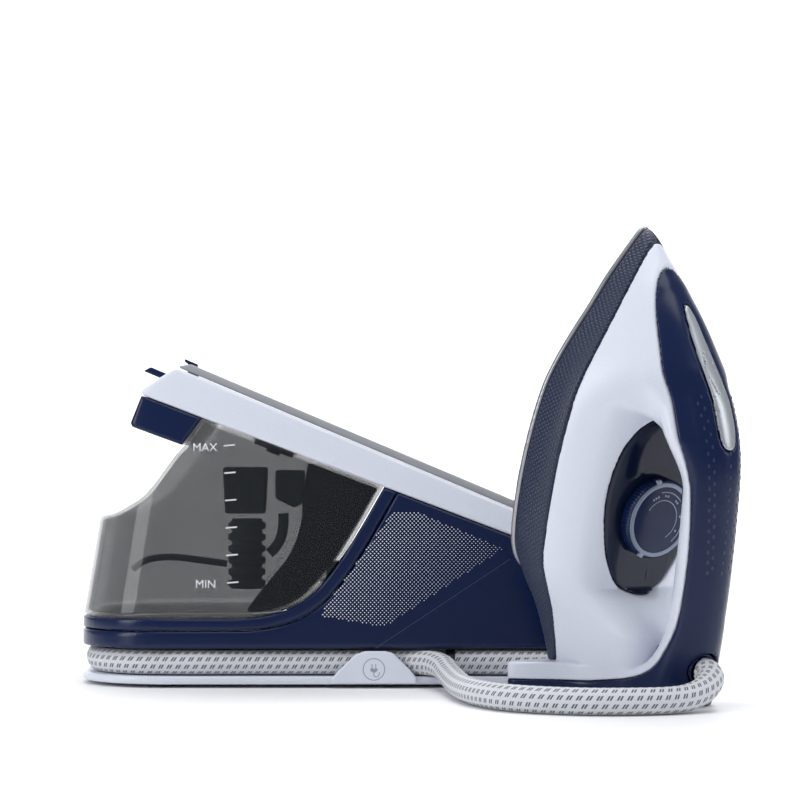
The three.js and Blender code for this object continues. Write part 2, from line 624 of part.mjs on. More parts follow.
const archForm = (margin) => gripBar(margin).add(ironForm(margin).intersect(dropColumn(margin)
  .intersect(noseTop())));

// Everything above the line where the handle's two halves meet.
function upperHalf(offset) {
  const line = smooth([[230, 0], [205, 20], [182, 34], [150, 62], [127, 79.5], [109, 91.5], [90, 99],
    [60, 105.5], [24, 109.5], [-5, 110.5], [-29, 109.5], [-100, 109]], 16);
  return solidOf(across(new THREE.Shape([...line, point(-100, 240), point(230, 240)]
    .map((corner) => point(corner.x, corner.y + offset))), BIG));
}

const INLAY_EDGE = [[182, 0], [181, 2], [174, 4], [160, 5.4], [145, 6.2], [130, 6.6], [118, 6.6],
  [111, 5.2], [108, 3], [107, 0]];
const INLAY_MIDDLE = 140;
const INLAY_THICKNESS = 1.5;

// A column over the strip in the grip's back, bigger all round by the given margin.
function inlayColumn(margin) {
  const edge = INLAY_EDGE.map(([x, y]) =>
    [x + (x > INLAY_MIDDLE ? margin : -margin), y > 0 ? y + margin : 0]);
  return solidOf(raised(mirrored(edge, 0, 14), 20, 200));
}

function handleShell() {
  const shell = archForm(0).subtract(archForm(WALL)).intersect(upperHalf(0));
  const pocket = inlayColumn(0.5).subtract(archForm(INLAY_THICKNESS + GAP));
  const collarHole = solidOf(cylinderAlong('z', COLLAR_RADIUS + GAP, 60, SOCKET, 24));
  return geometryOf(shell.subtract(pocket).subtract(collarHole));
}

function handleInlay() {
  const strip = archForm(0).subtract(archForm(INLAY_THICKNESS));
  return geometryOf(strip.intersect(upperHalf(0)).intersect(inlayColumn(0)));
}

const TRIGGER = { front: 97, back: 66, halfWidth: 8 };

function triggerSlot() {
  return solidOf(block(TRIGGER.front - TRIGGER.back + 2, 2 * TRIGGER.halfWidth + 2, 34,
    [(TRIGGER.front + TRIGGER.back) / 2, 0, 84]));
}

function handleLiner() {
  const shell = gripBar(0).subtract(gripBar(WALL)).subtract(upperHalf(-GAP))
    .intersect(solidOf(block(BIG, BIG, BIG, [106 - BIG / 2, 0, 0])));
  return geometryOf(shell.subtract(ironForm(-GAP).subtract(gripTop())).subtract(triggerSlot()));
}

// Space above the hand gap, so that the liner keeps its own outline there.
const gripTop = () => handGap(GAP).add(solidOf(block(140, 80, 40, [40, 0, 118])));

function trigger() {
  const lower = smooth([[TRIGGER.front, 80], [90, 82], [78, 86.5], [TRIGGER.back, 87.5]], 8);
  const upper = smooth([[TRIGGER.back, 93], [78, 92], [90, 88], [TRIGGER.front, 85]], 8);
  return across(new THREE.Shape([...lower, ...upper]), TRIGGER.halfWidth);
}

const triggerSwitch = () => block(16, 8, 7, [TRIGGER.back + 8, 0, 99.5]);

function heelPlate() {
  return heelPlan(smooth(HEEL_EDGE, 26), 0, HEEL_PLATE);
}

const SOCKET = [-26, 0, 112.2]; // foot of the collar that the hose goes into
const COLLAR_RADIUS = 10.5;

function hoseCollar() {
  const profile = points([[0, 0], [COLLAR_RADIUS - 1, 0], [COLLAR_RADIUS - 1, 6], [COLLAR_RADIUS, 7.5],
    [COLLAR_RADIUS, 13], [COLLAR_RADIUS - 1, 14.5], [0, 14.5]]);
  return new THREE.LatheGeometry(profile, 24).rotateX(Math.PI / 2);
}

const thermostat = () => cylinderAlong('z', 12, 12, [DIAL_X, 0, 24]);
const thermostatShaft = () => cylinderAlong('z', 3, 27, [DIAL_X, 0, 43.8], 12);

const RIM_POINTS = 72; // a groove at every other point
const RIM_GROOVE = 0.8;
const RING = { outer: 23.8, inner: 21.6, depth: 1.2, rise: 0.6 };

function dialKnob() {
  const rim = Array.from({ length: RIM_POINTS }, (_, i) => {
    const angle = (2 * Math.PI * i) / RIM_POINTS;
    const radius = DIAL_RADIUS - (i % 2) * RIM_GROOVE;
    return point(radius * Math.cos(angle), radius * Math.sin(angle));
  });
  const disc = solidOf(raised(new THREE.Shape(rim), 0, DIAL_HEIGHT));
  const seat = ringShape(RING.outer + GAP, RING.inner - GAP);
  return geometryOf(disc.subtract(solidOf(raised(seat, DIAL_HEIGHT - RING.depth - GAP, 20))));
}

function ringShape(outer, inner) {
  const shape = new THREE.Shape();
  shape.absarc(0, 0, outer, 0, 2 * Math.PI);
  const hole = new THREE.Path();
  hole.absarc(0, 0, inner, 0, 2 * Math.PI, true);
  shape.holes.push(hole);
  return shape;
}

const dialRing = () =>
  raised(ringShape(RING.outer, RING.inner), DIAL_HEIGHT - RING.depth, DIAL_HEIGHT + RING.rise);

const INNER_TUBE_RADIUS = 3.5;
const innerSteamTube = () =>
  tube([[-28, 0, 91], [-24, 0, 80], [-16, 0, 60], [0, 8, 40], [20, 10, 22]], INNER_TUBE_RADIUS, 12);

// ---------------------------------------------------------------- steam hose, in the object's own frame
// One turn round the base in the groove, from the gland to just past the clip.
function hoseWrap() {
  const half = BASE_HALF_WIDTH - HOSE_INSET;
  const corner = BASE_CORNER - HOSE_INSET;
  const right = BASE_LENGTH - HOSE_INSET;
  const bend = (x, y, from) => [0, 0.5, 1, 1.5, 2].map((step) => {
    const angle = from + (step * Math.PI) / 4;
    return [x + corner * Math.cos(angle), y + corner * Math.sin(angle), HOSE_HEIGHT];
  });
  const left = BASE_LEFT + HOSE_INSET + corner;
  const places = [[HOSE_GLAND_X + 3.3, -half, HOSE_HEIGHT],
    ...bend(right - corner, corner - half, -Math.PI / 2), ...bend(right - corner, half - corner, 0),
    [260, half, HOSE_HEIGHT], [190, half, HOSE_HEIGHT],
    [120, half, HOSE_HEIGHT], ...bend(left, half - corner, Math.PI / 2),
    ...bend(left, corner - half, Math.PI), [110, -half, HOSE_HEIGHT], [160, -half, HOSE_HEIGHT],
    [205, -half, HOSE_HEIGHT]];
  return tube(places, HOSE_RADIUS, 46);
}

// From the clip over the tray's edge to the floor, round in front of the heel and up to the collar.
const HOSE_LEAD = [[205.3, -97, 16.4], [210, -97.1, 16.4], [219, -100.5, 16.4], [229, -109.5, 16.4],
  [235, -122, 15], [239, -142, 11.5], [243, -172, 9], [247, -204, 8.4], [255, -237, 8.3], [272, -268, 8.3],
  [298, -287, 8.3], [322, -294, 8.3], [345, -293, 8.3], [363, -287.5, 8.3], [376, -280, 9.2],
  [384.8, -271.5, 11.8], [390.4, -263, 15.3], [392.8, -255.5, 18.8], [392.2, -249.5, 21.3],
  [389.3, -245.5, 22.6]];
const hoseLead = () => tube(HOSE_LEAD, HOSE_RADIUS, 34);

// ---------------------------------------------------------------- assembly
const object = new THREE.Group();
const base = new THREE.Group();
base.position.set(...BASE_PLACE);
const iron = new THREE.Group();
iron.position.set(...IRON_PLACE);

// The iron's directions as it stands: along the sole to the tip, to its near side, and up from the sole.
const outward = new THREE.Vector3(Math.cos(IRON_YAW), -Math.sin(IRON_YAW), 0);
const upward = new THREE.Vector3(0, 0, 1);
const toTip = upward.clone().multiplyScalar(Math.cos(IRON_LEAN))
  .addScaledVector(outward, Math.sin(IRON_LEAN));
const toHandle = outward.clone().multiplyScalar(Math.cos(IRON_LEAN))
  .addScaledVector(upward, -Math.sin(IRON_LEAN));
const toSide = new THREE.Vector3().crossVectors(toHandle, toTip);
iron.quaternion.setFromRotationMatrix(new THREE.Matrix4().makeBasis(toTip, toSide, toHandle));
object.add(base, iron);

function add(group, name, geometry, material, place = [0, 0, 0]) {
  const mesh = new THREE.Mesh(geometry, material);
  mesh.name = name;
  mesh.position.set(...place);
  group.add(mesh);
  return mesh;
}

FOOT_X.forEach((x, row) => [-FOOT_Y, FOOT_Y].forEach((y, side) =>
  add(base, `foot_${row * 2 + side + 1}`, foot(), RUBBER(), [x, y, 0])));
add(base, 'bottom_tray', tray(), WHITE());
add(base, 'hose_clip', hoseClip(), WHITE());
add(base, 'hose_gland', hoseGland(), BLACK());
add(base, 'base_housing', housing(), NAVY());
add(base, 'rest_frame', restFrame(), WHITE());
add(base, 'rest_mat', restMat(), MAT_GREY());
add(base, 'lock_slider', lockSlider(), NAVY());
add(base, 'control_panel', controlPanel(), DARK_NAVY());
add(base, 'power_button', roundButton(), SILVER(), [BASE_LENGTH, -16, PANEL.height]);
add(base, 'eco_button', roundButton(), SILVER(), [BASE_LENGTH, 16, PANEL.height]);
add(base, 'mains_gland', mainsGland(), BLACK(), [MAINS_GLAND.x, BASE_HALF_WIDTH - 9, MAINS_GLAND.height]);
add(base, 'boiler', boiler(), STEEL(), [...BOILER_PLACE, TRAY_TOP + GAP]);
add(base, 'boiler_thermostat', boilerThermostat(), BLACK(),
  [...BOILER_PLACE, TRAY_TOP + 2 * GAP + BOILER_HEIGHT]);
add(base, 'steam_valve', steamValve(), BRASS(), [320, 35, TRAY_TOP + GAP]);
add(base, 'water_pump', waterPump(), BLACK(), [262, -48, TRAY_TOP + GAP]);
add(base, 'control_board', controlBoard(), GREEN(), [328, -32, TRAY_TOP + GAP]);
add(base, 'tank_socket', tankSocket(), RUBBER());
add(base, 'feed_tube', feedTube(), RUBBER());

add(base, 'tank_shell', tankShell(), SMOKE());
add(base, 'tank_collar', tankCollar(), NAVY());
add(base, 'tank_grip', tankGrip(), NAVY());
add(base, 'tank_stopper', tankStopper(), RUBBER());
add(base, 'tank_spigot', tankSpigot(), BLACK());
add(base, 'tank_partition', tankPartition(), BLACK());
add(base, 'filter_cartridge', filterCartridge(), BLACK());
add(base, 'cartridge_cap', cartridgeCap(), BLACK());
add(base, 'outlet_block', outletBlock(), BLACK());
add(base, 'suction_tube', suctionTube(), BLACK());
add(base, 'intake_hose', intakeHose(), BLACK());

add(iron, 'soleplate', soleplate(), STEEL());
add(iron, 'steam_chamber', steamChamber(), ALUMINIUM());
add(iron, 'chamber_lid', chamberLid(), ALUMINIUM());
add(iron, 'heating_element', heatingElement(), STEEL());
add(iron, 'skirt', skirt(), NAVY());
add(iron, 'body_shell', bodyShell(), WHITE());
add(iron, 'deck_panel', deckPanel(), DARK_NAVY());
add(iron, 'handle_shell', handleShell(), NAVY());
add(iron, 'handle_inlay', handleInlay(), SILVER());
add(iron, 'handle_liner', handleLiner(), WHITE());
add(iron, 'trigger', trigger(), DARK_NAVY());
add(iron, 'trigger_switch', triggerSwitch(), BLACK());
add(iron, 'heel_plate', heelPlate(), NAVY());
add(iron, 'hose_collar', hoseCollar(), NAVY(), SOCKET);
add(iron, 'inner_steam_tube', innerSteamTube(), RUBBER());
add(iron, 'thermostat', thermostat(), STEEL());
add(iron, 'thermostat_shaft', thermostatShaft(), STEEL());
add(iron, 'dial_knob', dialKnob(), NAVY(), [DIAL_X, 0, DECK_HEIGHT + GAP]);
add(iron, 'dial_ring', dialRing(), SILVER(), [DIAL_X, 0, DECK_HEIGHT + GAP]);

add(base, 'hose_wrap', hoseWrap(), WOVEN());
add(base, 'hose_lead', hoseLead(), WOVEN());

export default object;
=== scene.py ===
"""Looks of a steam generator iron: a base station with a water tank, an iron on its heel beside it,
and the woven steam hose that joins them. Shapes are worked out in millimetres and made in metres."""

import math

import bpy
import numpy as np
from mathutils import Matrix, Vector


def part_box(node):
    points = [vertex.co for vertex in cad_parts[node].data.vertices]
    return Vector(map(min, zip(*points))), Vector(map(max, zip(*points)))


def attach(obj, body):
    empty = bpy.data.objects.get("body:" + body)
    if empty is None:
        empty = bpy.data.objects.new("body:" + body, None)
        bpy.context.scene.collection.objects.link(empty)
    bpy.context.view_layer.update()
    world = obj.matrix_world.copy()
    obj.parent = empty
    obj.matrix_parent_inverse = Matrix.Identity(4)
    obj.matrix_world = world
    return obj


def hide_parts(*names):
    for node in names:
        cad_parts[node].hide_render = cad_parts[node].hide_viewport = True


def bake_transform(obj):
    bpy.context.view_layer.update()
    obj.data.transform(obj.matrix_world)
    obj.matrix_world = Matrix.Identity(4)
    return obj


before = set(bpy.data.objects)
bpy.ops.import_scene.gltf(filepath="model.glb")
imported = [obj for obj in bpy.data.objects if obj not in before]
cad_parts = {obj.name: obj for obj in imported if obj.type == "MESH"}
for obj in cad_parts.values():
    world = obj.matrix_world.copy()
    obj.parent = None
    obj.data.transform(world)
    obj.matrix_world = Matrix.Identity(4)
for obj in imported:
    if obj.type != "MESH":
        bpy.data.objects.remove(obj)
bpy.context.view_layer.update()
MM = 0.001

# ------------------------------------------------------------------ dimensions, as in the CAD
BASE_LEFT = -6.5
BASE_LENGTH = 385
BASE_HALF_WIDTH = 107.5
BASE_CORNER = 60
BASE_DRAFT = 0.00054
REST_LEFT = 36.4
SEAM = 0.3  # gap between pieces that touch
TANK_WALL = 2.4
SPIGOT_RADIUS = 7.3
SPIGOT_HEIGHT = 72
FILLER = (118, 50, 15)  # place and radius of the tank's filler hole
CONTROL_HEIGHT = 45
BUTTON_Y = 16

IRON_PLACE = np.array([117.7, -71.7, 82.67])
IRON_YAW = math.radians(54)
IRON_LEAN = math.radians(16)
HEEL_REACH = 86
DECK_HEIGHT = 57
DIAL_X = 49.5
SOCKET = (-26, 0, 112.2)
HOSE_RADIUS = 8
HOSE_INSET = 10.5  # from the base's edge in to the hose's middle line
HOSE_HEIGHT = 16.4
GRIP_DEEP = 18.2  # half depth and half width of the grip's oval section
GRIP_WIDE = 18.8
COLLAR_HOLE = 11.0
DIAL_FACE = 8.4  # height of the dial's print over its foot

tray_low, tray_high = (np.array(corner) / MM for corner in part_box("bottom_tray"))
BASE_PLACE = np.array([tray_low[0] - BASE_LEFT, (tray_low[1] + tray_high[1]) / 2, 0])
# Middles of the round corners of the base's outline.
CORNER_LEFT = BASE_LEFT + BASE_CORNER
CORNER_RIGHT = BASE_LENGTH - BASE_CORNER
CORNER_Y = BASE_HALF_WIDTH - BASE_CORNER

outward = np.array([math.cos(IRON_YAW), -math.sin(IRON_YAW), 0])
upward = np.array([0, 0, 1.0])
to_tip = upward * math.cos(IRON_LEAN) + outward * math.sin(IRON_LEAN)
to_handle = outward * math.cos(IRON_LEAN) - upward * math.sin(IRON_LEAN)
to_side = np.cross(to_handle, to_tip)
IRON_TURN = np.array([to_tip, to_side, to_handle])
BASE_TURN = np.eye(3)


def iron_point(length, width, height):
    """A place on the iron in the frame's directions."""
    return IRON_PLACE + np.array([length, width, height]) @ IRON_TURN


# ------------------------------------------------------------------ node materials
def node(tree, kind, inputs=None, **settings):
    made = tree.nodes.new(kind)
    for name, value in settings.items():
        setattr(made, name, value)
    for name, value in (inputs or {}).items():
        if isinstance(value, bpy.types.NodeSocket):
            tree.links.new(value, made.inputs[name])
        else:
            made.inputs[name].default_value = value
    return made


def calc(tree, operation, first, second=0.0, third=0.0):
    return node(tree, "ShaderNodeMath", {0: first, 1: second, 2: third}, operation=operation).outputs[0]


def noise(tree, place, scale, detail=2.0):
    return node(tree, "ShaderNodeTexNoise", {"Vector": place, "Scale": scale, "Detail": detail}).outputs[0]


def ramp(tree, value, low, high, start=0.0, end=1.0):
    """The value from start to end, changed to go from low to high."""
    return node(tree, "ShaderNodeMapRange", {0: value, 1: start, 2: end, 3: low, 4: high}).outputs[0]


def mix(tree, share, first, second):
    return node(tree, "ShaderNodeMix", {0: share, 6: first, 7: second}, data_type="RGBA").outputs[2]


def shade(colour, factor):
    return (*[min(1.0, c * factor) for c in colour], 1.0)


def start_material(name):
    made = bpy.data.materials.new(name)
    made.use_nodes = True
    tree = made.node_tree
    place = node(tree, "ShaderNodeTexCoord").outputs["Object"]
    return made, tree, tree.nodes["Principled BSDF"], place


def moulded(name, colour, rough=0.2, change=0.05, grain=900.0, depth=0.02, **sockets):
    """Moulded plastic or metal: slow colour variation, a fine grain in its gloss and its surface."""
    made, tree, shader, place = start_material(name)
    slow = noise(tree, place, 14.0)
    fine = noise(tree, place, grain, 3.0)
    tree.links.new(mix(tree, slow, shade(colour, 1 - change), shade(colour, 1 + change)),
                   shader.inputs["Base Color"])
    tree.links.new(ramp(tree, fine, rough * 0.8, rough * 1.25), shader.inputs["Roughness"])
    bump = node(tree, "ShaderNodeBump", {"Strength": 0.25, "Distance": depth * MM, "Height": fine})
    tree.links.new(bump.outputs[0], shader.inputs["Normal"])
    for socket, value in sockets.items():
        shader.inputs[socket.replace("_", " ")].default_value = value
    return made


def lies(tree, place, direction, pitch):
    """How many pitches a place lies along a direction."""
    dot = node(tree, "ShaderNodeVectorMath", {0: place, 1: tuple(direction)}, operation="DOT_PRODUCT")
    return calc(tree, "DIVIDE", dot.outputs["Value"], pitch * MM)


def cells(tree, along, over):
    """Distance from the middle of round cells in staggered rows."""
    total, gap = calc(tree, "ADD", along, over), calc(tree, "SUBTRACT", along, over)
    u = calc(tree, "SUBTRACT", calc(tree, "FRACT", total), 0.5)
    v = calc(tree, "SUBTRACT", calc(tree, "FRACT", gap), 0.5)
    return calc(tree, "SQRT", calc(tree, "ADD", calc(tree, "MULTIPLY", u, u), calc(tree, "MULTIPLY", v, v)))


def embossed(name, colour, rough, pitch, along, over, high):
    """Plastic with a fine embossed pattern of round studs, laid out along two directions; the studs are painted much
    lighter than the ground between them, a painted highlight for their glints.
    """
    made, tree, shader, place = start_material(name)
    middle = cells(tree, lies(tree, place, along, pitch), lies(tree, place, over, pitch))
    stud = ramp(tree, middle, 1.0, 0.0, 0.2, 0.42)
    slow = noise(tree, place, 20.0)
    # painted highlight: each stud is coloured lighter than the ground to stand for its glint
    painted_glint_tone = mix(tree, stud, shade(colour, 0.6), shade(colour, 2.4))
    tree.links.new(mix(tree, ramp(tree, slow, 0.0, 0.15), painted_glint_tone, shade(colour, 0.6)), shader.inputs["Base Color"])
    tree.links.new(ramp(tree, stud, rough * 1.3, rough * 0.8), shader.inputs["Roughness"])
    bump = node(tree, "ShaderNodeBump", {"Strength": 0.8, "Distance": high * MM, "Height": stud})
    tree.links.new(bump.outputs[0], shader.inputs["Normal"])
    return made


def woven(name):
    """Braided textile: light threads with short slanted dark stitches in staggered rows."""
    made, tree, shader, place = start_material(name)
    uv = node(tree, "ShaderNodeUVMap").outputs[0]
    parts = node(tree, "ShaderNodeSeparateXYZ", {0: uv})
    along, around = parts.outputs[0], parts.outputs[1]
    row = calc(tree, "FLOOR", around)
    stagger = calc(tree, "MULTIPLY", calc(tree, "MODULO", row, 2.0), 0.5)
    u = calc(tree, "SUBTRACT", calc(tree, "FRACT", calc(tree, "ADD", along, stagger)), 0.5)
    v = calc(tree, "SUBTRACT", calc(tree, "FRACT", around), 0.5)
    slant = calc(tree, "SUBTRACT", u, calc(tree, "MULTIPLY", v, 0.5))
    inside_u = ramp(tree, calc(tree, "ABSOLUTE", slant), 1.0, 0.0, 0.27, 0.3)
    inside_v = ramp(tree, calc(tree, "ABSOLUTE", v), 1.0, 0.0, 0.24, 0.31)
    threads = calc(tree, "COSINE", calc(tree, "MULTIPLY", slant, 2 * math.pi / 0.3))
    thread = ramp(tree, threads, 1.0, 0.15, -0.1, 0.7)
    stitch = calc(tree, "MULTIPLY", calc(tree, "MULTIPLY", inside_u, inside_v), thread)
    one = calc(tree, "SINE", calc(tree, "MULTIPLY", calc(tree, "ADD", along, around), 8 * math.pi))
    two = calc(tree, "SINE", calc(tree, "MULTIPLY", calc(tree, "SUBTRACT", along, around), 8 * math.pi))
    weave = ramp(tree, calc(tree, "MULTIPLY", one, two), 0.0, 1.0, -0.8, 0.8)
    fuzz = noise(tree, place, 1800.0, 3.0)
    light = mix(tree, weave, (0.62, 0.64, 0.68, 1), (0.86, 0.87, 0.9, 1))
    light = mix(tree, ramp(tree, fuzz, 0.0, 0.3), light, (0.55, 0.57, 0.62, 1))
    tree.links.new(mix(tree, stitch, light, (0.09, 0.095, 0.115, 1)), shader.inputs["Base Color"])
    tree.links.new(ramp(tree, fuzz, 0.75, 0.95), shader.inputs["Roughness"])
    height = calc(tree, "ADD", weave, calc(tree, "ADD", stitch, fuzz))
    bump = node(tree, "ShaderNodeBump", {"Strength": 0.6, "Distance": 0.25 * MM, "Height": height})
    tree.links.new(bump.outputs[0], shader.inputs["Normal"])
    shader.inputs["Sheen Weight"].default_value = 0.25
    return made


WHITE = moulded("white_plastic", (0.74, 0.77, 0.86), 0.28, 0.012, 1400.0, 0.003)
NAVY = moulded("navy_plastic", (0.0045, 0.0125, 0.054), 0.2, 0.12, 1400.0, 0.003, Specular_IOR_Level=0.3)
DARK_NAVY = moulded("dark_navy_plastic", (0.005, 0.009, 0.028), 0.1, 0.1, 900.0, 0.002, Specular_IOR_Level=0.35)
MAT_GREY = moulded("rest_mat", (0.33, 0.34, 0.36), 0.7, 0.08, 1500.0, 0.08)
SMOKE = moulded("tank_smoke", (0.016, 0.019, 0.022), 0.07, 0.1, 60.0, 0.01, Alpha=0.5)
INSIDE = moulded("tank_inside_grey", (0.15, 0.165, 0.19), 0.6, 0.2, 500.0, 0.01, Specular_IOR_Level=0.2)
CHAMBER = moulded("tank_chamber_dark", (0.016, 0.02, 0.027), 0.7, 0.15, 400.0, 0.004, Specular_IOR_Level=0.0)
BLACK = moulded("black_plastic", (0.012, 0.013, 0.015), 0.4, 0.2, 900.0, 0.03)
RUBBER = moulded("foot", (0.12, 0.125, 0.13), 0.8, 0.15, 1600.0, 0.06)
SILVER = moulded("silver_plastic", (0.42, 0.44, 0.47), 0.32, 0.05, 1200.0, 0.02, Metallic=0.55)
SOLE_METAL = moulded("sole_metal", (0.36, 0.37, 0.39), 0.3, 0.08, 300.0, 0.02, Metallic=0.85)
CAST = moulded("cast_aluminium", (0.45, 0.46, 0.47), 0.5, 0.12, 500.0, 0.12, Metallic=0.9)
STEEL = moulded("steel", (0.5, 0.51, 0.53), 0.25, 0.08, 250.0, 0.02, Metallic=0.95)
BRASS = moulded("brass", (0.55, 0.4, 0.16), 0.35, 0.12, 400.0, 0.03, Metallic=0.95)
BOARD = moulded("circuit_board", (0.03, 0.12, 0.06), 0.45, 0.25, 260.0, 0.05)
BAND = moulded("band_grey", (0.2, 0.24, 0.32), 0.3, 0.05, 1200.0, 0.02, Metallic=0.3)
# lighter navy as a painted highlight: the light caught by the side crease and by the grip's studs
PAINTED_HIGHLIGHT_NAVY = moulded("painted_highlight_navy", (0.016, 0.03, 0.085), 0.3, 0.1, 900.0, 0.002)
PRINT = moulded("print_white", (0.82, 0.84, 0.88), 0.45, 0.03, 1500.0, 0.01)
PRINT_GREY = moulded("print_grey", (0.3, 0.34, 0.44), 0.45, 0.05, 1500.0, 0.01)
WOVEN = woven("woven_hose")
# the skirt's studs carry a painted highlight: they are coloured lighter than the navy between them
SKIRT = embossed("embossed_navy", (0.008, 0.015, 0.046), 0.3, 3.0, to_tip, to_handle * 0.8, 0.2)


# ------------------------------------------------------------------ solids from smooth fields
def curve(points, count=120):
    """A smooth line through places in the plane, evenly sampled in its parameter."""
    p = np.array(points, float)
    p = np.vstack([p[0], p, p[-1]])
    t = np.linspace(0, len(points) - 1, count)
    i = np.minimum(t.astype(int), len(points) - 2)
    f = (t - i)[:, None]
    a, b, c, d = p[i], p[i + 1], p[i + 2], p[i + 3]
    return 0.5 * (2 * b + (c - a) * f + (2 * a - 5 * b + 4 * c - d) * f ** 2 + (3 * b - a - 3 * c + d) * f ** 3)


def both_sides(edge):
    """A closed outline from one half of it, tip to heel."""
    half = curve(edge)
    return np.vstack([half, half[::-1] * (1, -1)])


def outline_distance(px, py, corners, closed=True):
    """Distance to an outline in the plane, negative inside it."""
    px, py = np.broadcast_arrays(px, py)
    nearest = np.full(px.shape, 1e9)
    inside = np.zeros(px.shape, bool)
    ends = np.roll(corners, -1, 0) if closed else corners[1:]
    for (x0, y0), (x1, y1) in zip(corners, ends):
        dx, dy = x1 - x0, y1 - y0
        t = np.clip(((px - x0) * dx + (py - y0) * dy) / (dx * dx + dy * dy + 1e-12), 0, 1)
        nearest = np.minimum(nearest, (px - x0 - t * dx) ** 2 + (py - y0 - t * dy) ** 2)
        if closed and y0 != y1:
            inside ^= ((y0 > py) != (y1 > py)) & (px < x0 + (py - y0) * dx / dy)
    return np.where(inside, -1, 1) * np.sqrt(nearest)


def both(a, b, r=1.2):
    """What two solids share, its edge rounded by r."""
    h = np.maximum(r - np.abs(a - b), 0) / r
    return np.maximum(a, b) + h * h * r / 4


def either(a, b, r=1.2):
    return -both(-a, -b, r)


def without(a, b, r=1.2):
    return both(a, -b, r)


class Room:
    """A grid of places, in a group's own directions, that solids are worked out on."""

    def __init__(self, low, high, step, turn, place):
        self.low, self.step, self.turn, self.place = np.array(low, float), step, turn, place
        counts = [int((b - a) / step) + 2 for a, b in zip(low, high)]
        axes = [(a + step * np.arange(n)).astype(np.float32) for a, n in zip(low, counts)]
        self.x, self.y, self.z = np.ix_(*axes)

    def plan(self, corners):
        return outline_distance(self.x[:, :, 0], self.y[:, :, 0], corners)[:, :, None].astype(np.float32)

    def side(self, corners, closed=True):
        found = outline_distance(self.x[:, 0, :], self.z[:, 0, :], corners, closed)
        return found[:, None, :].astype(np.float32)

    def solid(self, name, field, material, body, *nodes):
        """The mesh of where the field is below zero."""
        field = np.ascontiguousarray(np.broadcast_to(field, (self.x.size, self.y.size, self.z.size))).copy()
        for axis in range(3):
            edge = np.moveaxis(field, axis, 0)
            edge[0] = np.maximum(edge[0], 0.01)
            edge[-1] = np.maximum(edge[-1], 0.01)
        inside = field < 0
        quads, places = [], []
        for axis in range(3):
            low = [slice(None)] * 3
            high = [slice(None)] * 3
            low[axis], high[axis] = slice(0, -1), slice(1, None)
            crossing = np.argwhere(inside[tuple(low)] != inside[tuple(high)])
            step = np.zeros(3, int)
            step[axis] = 1
            before = field[tuple(crossing.T)]
            after = field[tuple((crossing + step).T)]
            place = crossing + step * (before / (before - after))[:, None]
            second, third = np.eye(3, dtype=int)[[(axis + 1) % 3, (axis + 2) % 3]]
            corners = [np.ravel_multi_index((crossing - shift).T, field.shape)
                       for shift in (0 * second, second, second + third, third)]
            quad = np.stack(corners, 1)
            outside = ~inside[tuple(crossing.T)]
            quad[outside] = quad[outside][:, ::-1]
            quads.append(quad)
            places.append(np.repeat(place[:, None, :], 4, 1))
        quads, places = np.concatenate(quads), np.concatenate(places).reshape(-1, 3)
        _, at = np.unique(quads.ravel(), return_inverse=True)
        share = np.bincount(at)
        corners = np.stack([np.bincount(at, places[:, i]) / share for i in range(3)], 1)
        world = (self.low + self.step * corners) @ self.turn + self.place
        return piece(name, world, at.reshape(-1, 4), material, body, *nodes)


def piece(name, world, faces, material, body, *nodes, sharp=None):
    """An object from corners in millimetres in the frame's directions, riding on a body."""
    mesh = bpy.data.meshes.new(name)
    corners = np.asarray(world, np.float32) * MM
    if isinstance(faces, np.ndarray):
        mesh.vertices.add(len(corners))
        mesh.vertices.foreach_set("co", corners.ravel())
        mesh.loops.add(faces.size)
        mesh.loops.foreach_set("vertex_index", faces.ravel().astype(np.int32))
        mesh.polygons.add(len(faces))
        mesh.polygons.foreach_set("loop_start", np.arange(0, faces.size, faces.shape[1], dtype=np.int32))
        mesh.update(calc_edges=True)
        mesh.validate()
    else:
        mesh.from_pydata(corners.tolist(), [], faces)
    mesh.polygons.foreach_set("use_smooth", np.ones(len(mesh.polygons), bool))
    if sharp:
        mesh.set_sharp_from_angle(angle=math.radians(sharp))
    mesh.materials.append(material)
    made = bpy.data.objects.new(name, mesh)
    bpy.context.scene.collection.objects.link(made)
    if body:
        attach(made, body)
    if nodes:
        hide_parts(*nodes)
    return made


def rings(name, loops, material, body, *nodes, sharp=35):
    """A closed skin over rings of the same count of corners, with a cap on the first and last."""
    count = len(loops[0])
    faces = [list(range(count))[::-1]]
    for ring in range(len(loops) - 1):
        a, b = ring * count, (ring + 1) * count
        faces += [[a + i, a + (i + 1) % count, b + (i + 1) % count, b + i] for i in range(count)]
    faces.append([(len(loops) - 1) * count + i for i in range(count)])
    return piece(name, np.concatenate(loops), faces, material, body, *nodes, sharp=sharp)


def turned(name, profile, centre, axis, across, material, body, *nodes, count=96, knurl=0.0, sharp=35):
    """A turned piece from (radius, height) steps about an axis; its rim may be knurled."""
    axis, across = np.array(axis, float), np.array(across, float)
    third = np.cross(axis, across)
    angle = np.arange(count) * 2 * math.pi / count
    loops = []
    for step in profile:
        radius, height = step[:2]
        wave = knurl * (np.arange(count) % 4 < 2) if len(step) > 2 else 0.0
        flat = np.outer(np.cos(angle), across) + np.outer(np.sin(angle), third)
        loops.append(np.array(centre) + (radius - wave * np.ones(count))[:, None] * flat + height * axis)
    return rings(name, loops, material, body, *nodes, sharp=sharp)


